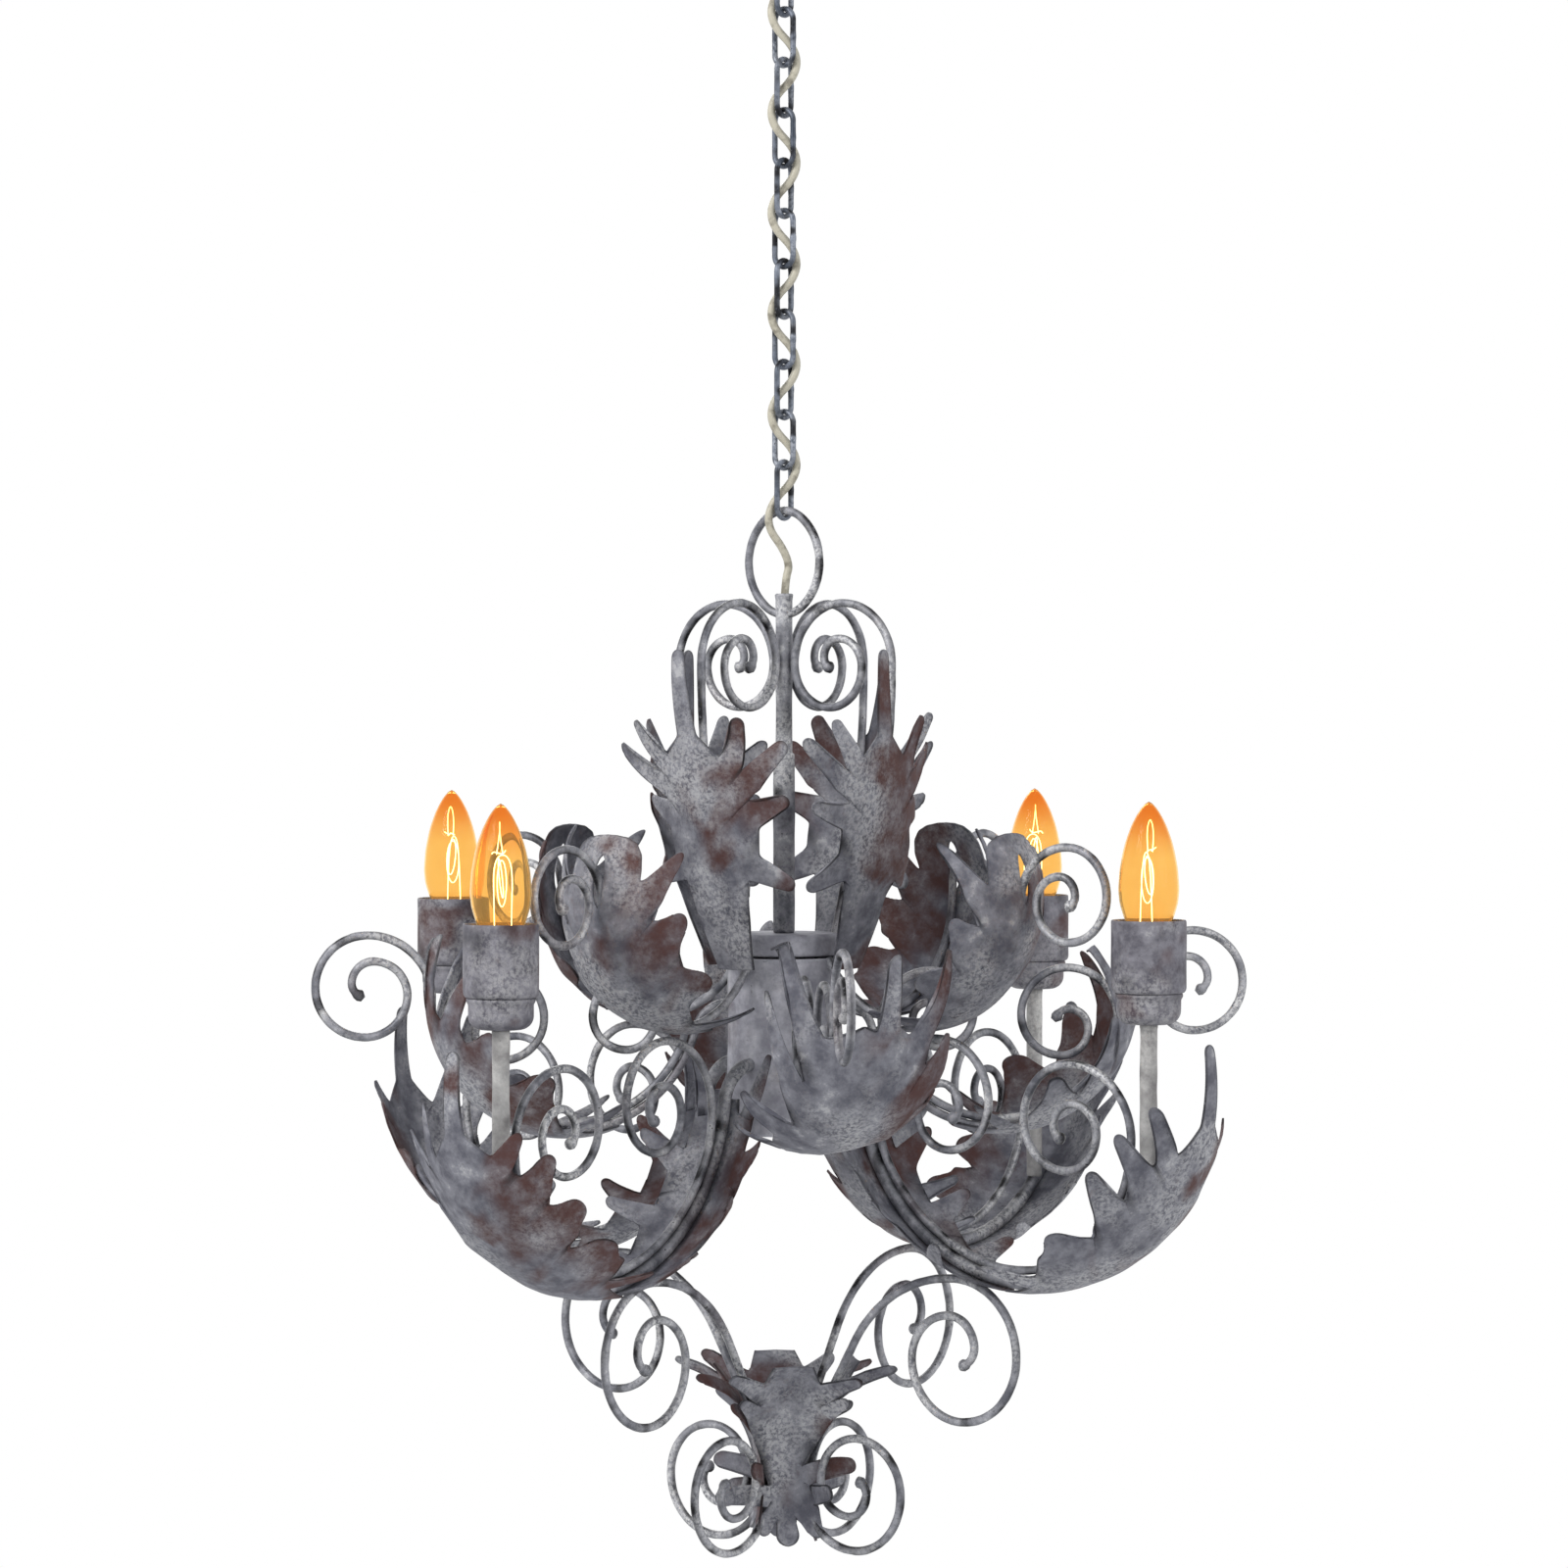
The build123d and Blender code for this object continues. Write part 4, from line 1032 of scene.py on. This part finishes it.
    def build(self, shop: Workshop) -> None:
        """Place each ring of leaves as one piece."""
        for number, (node, (ring, turn)) in enumerate(self.leaves().items()):
            surfaces = []
            for arm, leaf in enumerate(ring):
                surfaces += leaf.surfaces(turn + ARM_STEP * arm, 1000 + 50 * number + 7 * arm)
            shop.place(f"sheet_{node}", surfaces, Finish.LEAF, "lamp", (node,), LEAF_SHEET)


@dataclass
class Chain:
    """Long links on the ceiling hook, and the flex woven through them."""

    first_z: float = -52.35
    pitch: float = 30.0
    count: int = 11
    wire: float = 3.4
    half_width: float = 6.8
    half_length: float = 16.85
    flex_d: float = 4.8
    weave: float = 15.2
    dent: float = 0.04
    dent_cell: float = 4.0
    weld_swell: float = 0.13
    weld_mm: float = 2.2
    grip_offset: float = 16.0
    tongue_rows: int = 2
    tongue_share: float = 0.95

    def link_z(self, index: int) -> float:
        """Height of a link's middle, counted from 0 at the top."""
        return self.first_z - self.pitch * index

    def link(self, index: int) -> Surface:
        """Closed loop of two straights and two half rounds, with a swollen weld on one side."""
        straight = self.half_length - self.half_width
        turn = np.linspace(0, pi, 34, endpoint=False)
        run = np.linspace(-straight, straight, 22, endpoint=False)
        top = np.stack([self.half_width * np.cos(turn), straight + self.half_width * np.sin(turn)], axis=1)
        right = np.stack([np.full_like(run, self.half_width), run], axis=1)
        loop = np.concatenate([right, top, -right, -top])
        away = np.abs(loop[:, 1]) + 50 * (loop[:, 0] < 0)
        radius = self.wire / 2 * (1 + self.weld_swell * np.exp(-((away / self.weld_mm) ** 2)))
        odd = index % 2
        across = (1.0 - odd, -1.0 * odd, 0.0)
        height = loop[:, 1] + self.link_z(index)
        path = np.stack([odd * loop[:, 0], (1 - odd) * loop[:, 0], height], axis=1)
        points = sweep(path, across, radius, 12, closed=True)
        points = hammered(points, path, self.dent, self.dent_cell, 700 + index)
        wear_and_shade = 0.95 * smooth_step(lattice_noise(points, 6.0, 720 + index), 0.05, 0.6)
        rust = 0.5 * smooth_step(lattice_noise(points, 14.0, 740 + index), 0.4, 0.9)
        return Surface(points, wear_and_shade, rust, round_rows=True)

    def flex_line(self) -> Array:
        """Points along the flex, read from a smooth spline on its route's points.

        The route turns at every joint of the chain, from one corner of the links to the other. Its points
        stand twice as far out as the flex does, because the spline goes half way out to each of them.

        Returns:
            Points (n, 3) in mm.
        """
        grip = self.grip_offset
        joints = [HOOK_Z + 0.95] + [self.link_z(i) - self.half_length + 1.85 for i in range(self.count)]
        stops = [(grip, grip, 0.0), (grip, grip, -13.0), (grip, grip, -24.0)]
        for index, z in enumerate(joints):
            out = self.weave / sqrt(2) * (-1) ** index
            stops.append((out, out, z))
        tube_top = level(TUBE_TOP)
        stops += [(3.2, 3.2, tube_top + 20.0), (0, 0, tube_top + 6.0), (0, 0, tube_top - 24.0)]
        curve = bpy.data.curves.new("flex_route", "CURVE")
        curve.dimensions = "3D"
        spline = curve.splines.new("NURBS")
        spline.points.add(len(stops) - 1)
        flat = np.concatenate([np.array(stops) * MM, np.ones((len(stops), 1))], axis=1)
        spline.points.foreach_set("co", flat.astype(np.float32).ravel())
        spline.use_endpoint_u = True
        spline.order_u = 3
        spline.resolution_u = 14
        holder = bpy.data.objects.new("flex_route", curve)
        bpy.context.scene.collection.objects.link(holder)
        bpy.context.view_layer.update()
        shown = holder.evaluated_get(bpy.context.evaluated_depsgraph_get())
        mesh = bpy.data.meshes.new_from_object(shown)
        line = np.zeros(len(mesh.vertices) * 3, np.float32)
        mesh.vertices.foreach_get("co", line)
        bpy.data.objects.remove(holder)
        bpy.data.curves.remove(curve)
        bpy.data.meshes.remove(mesh)
        return line.reshape(-1, 3).astype(float) / MM

    def flex(self, shop: Workshop) -> None:
        """Flex in lengths that each ride on one link, with a thinner tongue that stays inside the next length."""
        line = self.flex_line()
        around = sweep(line, (1.0, -1.0, 0.0), np.full(len(line), self.flex_d / 2), 14)
        bodies = ["ceiling_fitting"] + [f"link_{i + 1:02d}" for i in range(self.count)] + ["lamp"]
        turns = [HOOK_Z] + [self.link_z(i) - self.half_length for i in range(self.count)]
        cuts = [0] + [int(np.argmin(np.abs(line[:, 2] - z))) for z in turns] + [len(line) - 1]
        for number, body in enumerate(bodies):
            first, last = cuts[number], cuts[number + 1]
            rows = np.arange(first, min(last + self.tongue_rows, len(line) - 1) + 1)
            share = np.where(rows > last, self.tongue_share, 1.0)[:, None, None]
            points = line[rows, None] + (around[rows] - line[rows, None]) * share
            name = f"flex_length_{number + 1:02d}"
            shop.place(name, [plain_surface(points)], Finish.FLEX, body, ("flex_cable",))

    def build(self, shop: Workshop) -> None:
        """Place the links and the flex."""
        for index in range(self.count):
            name = f"{index + 1:02d}"
            nodes = (f"chain_link_{name}",)
            shop.place(f"welded_link_{name}", [self.link(index)], Finish.CHAIN, f"link_{name}", nodes)
        self.flex(shop)


def lathe(profile: Array, centre: Point, columns: int = 48) -> Array:
    """Surface of revolution: each (radius, height) of the profile goes round an upright axis at centre."""
    turn = np.linspace(0, 2 * pi, columns, endpoint=False)[None, :]
    x = centre[0] + profile[:, :1] * np.cos(turn)
    y = centre[1] + profile[:, :1] * np.sin(turn)
    return np.stack([x, y, np.broadcast_to(profile[:, 1:], x.shape)], axis=-1)


def dense(corners: list[Point], step: float) -> Array:
    """Profile through corners, filled in at a step and with its corners eased over three points."""
    points = np.array(corners, float)
    run = length_along(points)
    soft = resampled(points, run, max(8, int(run[-1] / step)), np.ones(3))
    soft[0] = points[0]
    return soft


def beaten(points: Array, centre: Point, depth: float, cell: float, seed: int) -> Array:
    """Dents in a turned shape: points move in and out from its axis by noise."""
    axis = np.array([centre[0], centre[1], 0.0])
    spoke = (points - axis) * np.array([1.0, 1.0, 0.0])
    length = np.linalg.norm(spoke, axis=-1, keepdims=True)
    dent = lattice_noise(points, cell, seed)[..., None]
    return points + depth * dent * spoke / np.maximum(length, 1.0) * np.minimum(length / 4, 1)


def turned(
    corners: list[Point],
    centre: Point,
    columns: int,
    dents: Point,
    seed: int,
    rust: float,
    wear_and_shade: float = 0.5,
    step: float = 0.9,
) -> Surface:
    """Beaten surface of revolution through a profile's corners, with rust and dark patches from noise.

    Args:
        corners: radius and drop of each corner.
        centre: x and y of the axis.
        columns: points round.
        dents: their depth and spacing in mm.
        seed: picks the dents and the patches.
        rust: how strong the rust is.
        wear_and_shade: how strong the dark patches are.
        step: spacing of the profile's points in mm.

    Returns:
        The turned surface.
    """
    profile = dense([(r, level(drop)) for r, drop in corners], step)
    points = beaten(lathe(profile, centre, columns), centre, *dents, seed)
    dark = wear_and_shade * smooth_step(lattice_noise(points, DARK_CELL, seed + 1), 0.25, 0.8)
    patch = lattice_noise(points, RUST_CELL, seed + 2) + 0.5 * lattice_noise(points, SPOT_CELL, seed + 3)
    return Surface(points, dark, rust * smooth_step(patch, 0.1, 0.7))


@dataclass
class HangingStem:
    """Oval ring, and the tube and sleeve below it."""

    width: float = 58.0
    height: float = 67.0
    end_r: float = 22.0
    tube_d: float = 10.0
    bore: float = 7.0
    tube_foot: float = 150.0
    sleeve_d: float = 13.0
    sleeve_top: float = 147.0

    def ring_line(self) -> Array:
        """Oval of four tangent arcs, from the foot of the tube round to it again."""
        a, b = (self.width - BAR) / 2, (self.height - BAR) / 2
        flank = (a**2 + (b - self.end_r) ** 2 - self.end_r**2) / (2 * (a - self.end_r))
        turn = degrees(atan2(flank - a, b - self.end_r))
        first = degrees(asin((self.tube_d / 2 - 1.0) / self.end_r))
        lowest = level(self.height - BAR / 2)
        start = (self.end_r * sin(radians(first)), lowest + self.end_r * (1 - cos(radians(first))))
        sides = [(flank, 180 - 2 * turn), (self.end_r, 2 * turn), (flank, 180 - 2 * turn)]
        return route(start, first, [(self.end_r, turn - first)] + sides + [(self.end_r, turn - first)])

    def build(self, shop: Workshop) -> None:
        """Place the ring, the tube and its sleeve."""
        ring = ForgedBar(dent=0.05).surface(self.ring_line(), 0, (False, False), 810)
        shop.place("forged_ring", [ring], Finish.BAR, "lamp", ("hanging_ring",))
        outer, inner, sleeve = self.tube_d / 2, self.bore / 2, self.sleeve_d / 2
        head, foot, cover_head = TUBE_TOP, self.tube_foot, self.sleeve_top
        tube = [
            (inner, head + 30), (inner, head), (outer + 0.5, head), (outer + 0.5, head + 2),
            (outer, head + 3), (outer, foot), (inner, foot), (inner, head + 30),
        ]
        surface = turned(tube, CENTRE, 32, (0.25, 12.0), 820, 0.15)
        shop.place("hanging_tube_skin", [surface], Finish.BAR, "lamp", ("hanging_tube",))
        cover = [
            (outer, CAN_TOP), (outer, cover_head), (sleeve - 0.9, cover_head), (sleeve, cover_head + 2),
            (sleeve, CAN_TOP), (outer, CAN_TOP),
        ]
        surface = turned(cover, CENTRE, 36, (0.3, 14.0), 830, 0.2, 0.9)
        shop.place("sleeve_skin", [surface], Finish.BAR, "lamp", ("tube_sleeve",))


@dataclass
class CanBody:
    """Sheet can with its lid and rim, which carries the arms."""

    lid_r: float = 33.0
    lid_hole: float = 5.1
    lid_sheet: float = 2.0
    lid_foot: float = 268.4
    wall: float = 1.5
    head: float = 269.2
    rim_head: float = 363.5
    rim_proud: float = 1.5
    foot: float = 374.8

    def build(self, shop: Workshop) -> None:
        """Place the lid and the can, and dress the base and what is inside."""
        edge, hole, lid_foot, sheet = self.lid_r, self.lid_hole, self.lid_foot, self.lid_sheet
        lid = [
            (hole, CAN_TOP), (edge - 2.2, CAN_TOP), (edge, CAN_TOP + 2.2), (edge, lid_foot - 2),
            (edge - 0.5, lid_foot - 0.8), (edge - sheet, lid_foot), (edge - sheet, CAN_TOP + sheet),
            (hole, CAN_TOP + sheet), (hole, CAN_TOP),
        ]
        surface = turned(lid, CENTRE, 72, (0.3, 22.0), 850, 0.1, 0.2)
        # The lid, can and base take the paler copy of the leaf iron, painted light against the leaves' shade.
        shop.place("lid_skin", [surface], Finish.LIT_CAN, "lamp", ("body_lid",))
        outer, inner, rim = CAN_R, CAN_R - self.wall, CAN_R + self.rim_proud
        head, rim_head, foot = self.head, self.rim_head, self.foot
        can = [
            (inner, head), (outer, head), (outer, rim_head - 2), (rim, rim_head), (rim, foot - 0.2),
            (inner, foot), (inner, head),
        ]
        surface = turned(can, CENTRE, 96, (0.55, 26.0), 860, 0.5, 0.3, step=1.0)
        shop.place("can_skin", [surface], Finish.LIT_CAN, "lamp", ("body_can",))
        shop.keep("body_base", Finish.LIT_CAN)
        shop.keep("tube_locknut", Finish.CHAIN)
        shop.keep("terminal_block", Finish.PLASTIC)


@dataclass
class CandleLamps:
    """Stems, lampholders and lit bulbs at the ends of the candle arms."""

    reach: float = 262.0
    stem_d: float = 10.0
    stem_head: float = 300.2
    stem_foot: float = 420.5
    holder_bottom: float = 300.0
    dome_h: float = 18.0
    shell_r: float = 21.5
    shell_wall: float = 1.2
    shell_top: float = 240.0
    shell_foot: float = 282.0
    dome_r: float = 18.5
    dome_round: float = 8.0
    socket_h: float = 30.0
    cap_h: float = 22.0
    cap_gap: float = 0.3
    wire_d: float = 0.62
    bulb_h: float = 78.0

    def foot_of_bulb(self) -> float:
        """Height of the glass's foot, at the top of its brass cap."""
        socket_floor = self.shell_foot - self.shell_wall - (self.socket_h - self.cap_h - self.cap_gap)
        return level(socket_floor - self.cap_gap - self.cap_h)

    def stem(self, centre: Point, seed: int) -> Surface:
        """Tube from the arm up into the dome."""
        outer, head, foot = self.stem_d / 2, self.stem_head, self.stem_foot
        side = [(0, foot), (outer, foot - 1), (outer, head + 0.8), (outer + 0.8, head), (0, head)]
        return turned(side, centre, 28, (0.3, 10.0), seed, 0.3, step=1.2)

    def dome(self, centre: Point, seed: int) -> Surface:
        """Round-shouldered cup under the shell."""
        foot, r, bend = self.holder_bottom, self.dome_r, self.dome_round
        head = foot - self.dome_h
        curve = [(r - bend + bend * sin(a), foot - bend + bend * cos(a)) for a in np.linspace(0, pi / 2, 16)]
        side = [(0, foot), *curve, (r, head + 3), (r + 1.1, head + 2.6), (r + 1.1, head), (0, head)]
        return turned(side, centre, 48, (0.25, 15.0), seed, 0.8)

    def shell(self, centre: Point, seed: int) -> Surface:
        """Open sleeve round the socket, with a rolled lip."""
        foot, head, wall, outer = self.shell_foot, self.shell_top, self.shell_wall, self.shell_r
        inner = outer - wall
        side = [
            (0, foot), (outer - wall, foot), (outer, foot - 2.2), (outer, head + 0.6), (outer - 0.3, head),
            (inner + 0.4, head), (inner, head + 0.6), (inner, foot - wall), (0, foot - wall),
        ]
        return turned(side, centre, 64, (0.35, 17.0), seed, 0.9)

    def glass(self, centre: Point) -> Surface:
        """Candle bulb: a smooth curve through neck, shoulder, widest, waist and tip, doubled for its wall."""
        foot = self.foot_of_bulb()
        share = np.linspace(0, 1, 60)
        keys = np.array([0, 6, 12, 20, 28, 40, 50, 56, 64, 70, 74, 77, 78], float)
        radii = np.array([7.0, 11.2, 14.3, 16.7, 17.5, 16.6, 14.7, 13.1, 10.2, 7.2, 4.6, 1.9, 0.0])
        height = self.bulb_h * (1 - np.cos(pi * share)) / 2
        outer = np.stack([np.interp(height, keys, radii), foot + height], axis=1)
        outer[1:-1, 0] = np.convolve(outer[:, 0], (0.25, 0.5, 0.25), "valid")
        inner = outer - np.stack([np.minimum(outer[:, 0], 0.8), np.where(share > 0.9, 0.6, 0.0)], axis=1)
        points = lathe(np.concatenate([outer, inner[::-1], outer[:1]]), centre, 48)
        up = (points[..., 2] - foot) / self.bulb_h
        deep = 0.95 * smooth_step(up, 0.55, 0.98) + 0.55 * (1 - smooth_step(up, 0.0, 0.22))
        return Surface(points, deep, np.zeros_like(deep))

    def filament(self, angle: float) -> list[Surface]:
        """Looped wire: two legs into an arch, a long loop inside it and a thin support above.

        Args:
            angle: the arm's direction in degrees, across which the loops stand.

        Returns:
            One tube for each wire.
        """
        foot, turn = self.foot_of_bulb(), radians(angle)
        t = np.linspace(0, 1, 90)
        rise = np.sin(pi * t)
        arch = np.stack([-6.2 * np.cos(pi * t) * (1 + 0.45 * rise**2), 2 + 47 * rise**0.55], axis=1)
        loop = np.stack([4.4 * np.sin(2 * pi * t), 33 - 13 * np.cos(2 * pi * t)], axis=1)
        inner = np.stack([2.6 * np.sin(2 * pi * t + 0.6), 36 - 11 * np.cos(2 * pi * t)], axis=1)
        support = np.stack([2.4 * (1 - 2 * t), 49 + 18.5 * (1 - np.abs(1 - 2 * t) ** 1.6)], axis=1)
        brace = np.stack([-5 + 10 * t, 49.5 + 0.8 * np.sin(7 * t) + 1.8 * t], axis=1)
        wires = []
        for number, flat in enumerate((arch, loop, inner, support, brace)):
            depth = 0.9 * (number - 2) + 1.2 * np.sin(2 * pi * t)
            path = stood(self.reach + depth, flat[:, 0], foot + flat[:, 1], angle)
            radius = np.full(len(path), self.wire_d / 2)
            radius[[0, -1]] = 0.0
            wires.append(plain_surface(sweep(path, (cos(turn), sin(turn), 0.02), radius, 6)))
        return wires

    def build(self, shop: Workshop) -> None:
        """Place the holders as rings of four and each bulb on its own body."""
        turns = [ARM_STEP * arm for arm in range(ARMS)]
        centres = [(self.reach * cos(radians(a)), self.reach * sin(radians(a))) for a in turns]
        rings = (
            ("candle_stems", self.stem, Finish.STEM, 900),
            ("holder_domes", self.dome, Finish.HOLDER, 920),
            ("holder_shells", self.shell, Finish.HOLDER, 940),
        )
        for node, make, finish, seed in rings:
            surfaces = [make(centre, seed + 3 * arm) for arm, centre in enumerate(centres)]
            shop.place(f"{node}_skin", surfaces, finish, "lamp", (node,))
        shop.keep("holder_sockets", Finish.PLASTIC)
        for arm, (turn, centre) in enumerate(zip(turns, centres), 1):
            body = f"bulb_{arm}"
            shop.place(f"amber_bulb_{arm}", [self.glass(centre)], Finish.GLASS, body, (f"bulb_glass_{arm}",))
            shop.place(f"hot_wire_{arm}", self.filament(turn), Finish.WIRE, body, (f"bulb_filament_{arm}",))
            shop.keep(f"bulb_cap_{arm}", Finish.CAP)


@dataclass
class CeilingFitting:
    """Plate, hook and cord grip, above what the picture shows."""

    hook_r: float = 11.0
    hook_entry: float = 115.0
    hook_end: float = 365.0

    def hook_line(self) -> Array:
        """Shank, a reverse bend and an open circle under the plate's centre."""
        entry = radians(self.hook_entry)
        turn = 180 - self.hook_entry
        neck = -self.hook_r * cos(entry) / (1 - cos(radians(turn)))
        entry_z = HOOK_Z + self.hook_r + self.hook_r * sin(entry)
        shank = -2.0 - (entry_z + neck * sin(radians(turn)))
        return route((0, -2.0), 270, [(shank, 0), (neck, -turn), (self.hook_r, self.hook_end - self.hook_entry)])

    def build(self, shop: Workshop) -> None:
        """Place the hook and dress the plate and the grip."""
        hook = ForgedBar(knob=2.5).surface(self.hook_line(), 0, (False, True), 960)
        shop.place("forged_hook", [hook], Finish.BAR, "ceiling_fitting", ("ceiling_hook",))
        shop.keep("ceiling_plate", Finish.BAR)
        shop.keep("cord_grip", Finish.PLASTIC)


@dataclass
class Studio:
    """White surround, soft lamps and the camera at the picture's angle."""

    azimuth: float = 37.4
    distance: float = 3.4
    height: float = -0.4607
    pitch: float = 1.136
    lens: float = 130.5
    sensor: float = 36.0
    floor_z: float = -1.5
    floor_r: float = 1.3
    aim_z: float = -0.65
    sky: Colour = (0.93, 0.96, 1.0, 1.0)
    sky_strength: float = 0.58
    white: Colour = (1.0, 1.0, 1.0, 1.0)

    def world(self) -> None:
        """Even light from all round, shown as white to the camera and in gloss and glass."""
        world = bpy.data.worlds.new("white_room")
        bpy.context.scene.world = world
        world.use_nodes = True
        world.node_tree.nodes.clear()
        nodes = Nodes(world.node_tree)
        rays = nodes.node("ShaderNodeLightPath").outputs
        direct = nodes.math("MAXIMUM", rays["Is Camera Ray"], rays["Is Glossy Ray"])
        direct = nodes.math("MAXIMUM", direct, rays["Is Transmission Ray"])
        lit = nodes.node("ShaderNodeBackground", Color=self.sky, Strength=self.sky_strength).outputs[0]
        seen = nodes.node("ShaderNodeBackground", Color=self.white, Strength=1.0).outputs[0]
        either = nodes.numbered("ShaderNodeMixShader", {}, {0: direct, 1: lit, 2: seen})
        nodes.node("ShaderNodeOutputWorld", Surface=either)

    def floor(self) -> None:
        """Pale round floor well below the lamp."""
        rings = np.array([0.0, 0.4, 0.8, 1.0]) * self.floor_r / MM
        profile = np.stack([rings, np.full(4, self.floor_z / MM)], axis=1)
        disc = mesh_object("pale_floor", [plain_surface(lathe(profile[::-1], CENTRE, 64))])
        recipe = Recipe("pale_floor")
        pale = recipe.mix(recipe.noise(6.0), tint(238, 238, 238), tint(244, 244, 243))
        recipe.set(Base_Color=pale, Roughness=0.9)
        disc.data.materials.append(recipe.material)

    def stand(self, name: str, data: bpy.types.ID, azimuth: float, away: float, height: float) -> bpy.types.Object:
        """New object at an azimuth in degrees, a distance and a height."""
        holder = bpy.data.objects.new(name, data)
        turn = radians(azimuth)
        holder.location = (away * sin(turn), -away * cos(turn), height)
        bpy.context.scene.collection.objects.link(holder)
        return holder

    def lamp(self, name: str, azimuth: float, height: float, away: float, size: float, watts: float) -> None:
        """Soft square lamp turned to the middle of the chandelier."""
        light = bpy.data.lights.new(name, "AREA")
        light.size = size
        light.energy = watts
        holder = self.stand(name, light, azimuth, away, height)
        aim = Vector((0, 0, self.aim_z)) - holder.location
        holder.rotation_euler = aim.to_track_quat("-Z", "Y").to_euler()

    def camera(self) -> None:
        """Long lens, a little above the lamp's middle and level but for a slight tilt."""
        data = bpy.data.cameras.new("camera")
        data.sensor_width = self.sensor
        data.lens = self.lens
        holder = self.stand("camera", data, self.azimuth, self.distance, self.height)
        holder.rotation_euler = (radians(90 - self.pitch), 0.0, radians(self.azimuth))
        bpy.context.scene.camera = holder

    def build(self) -> None:
        """Set up the whole studio."""
        bpy.context.scene.view_settings.view_transform = "Standard"
        self.world()
        self.floor()
        self.lamp("key", self.azimuth - 48, 0.7, 1.9, 1.0, 34.0)
        self.lamp("fill", self.azimuth + 55, 0.1, 2.1, 1.3, 14.0)
        self.lamp("back", self.azimuth + 190, 0.4, 1.8, 0.9, 12.0)
        self.camera()


def main() -> None:
    """Build the studio and each sub-assembly in order."""
    logging.basicConfig(level=logging.INFO, format="%(name)s: %(message)s")
    Studio().build()
    shop = Workshop()
    scrolls = ScrollWork()
    CeilingFitting().build(shop)
    Chain().build(shop)
    HangingStem().build(shop)
    CanBody().build(shop)
    scrolls.build(shop)
    Foliage(scrolls).build(shop)
    CandleLamps().build(shop)


if __name__ == "__main__":
    main()
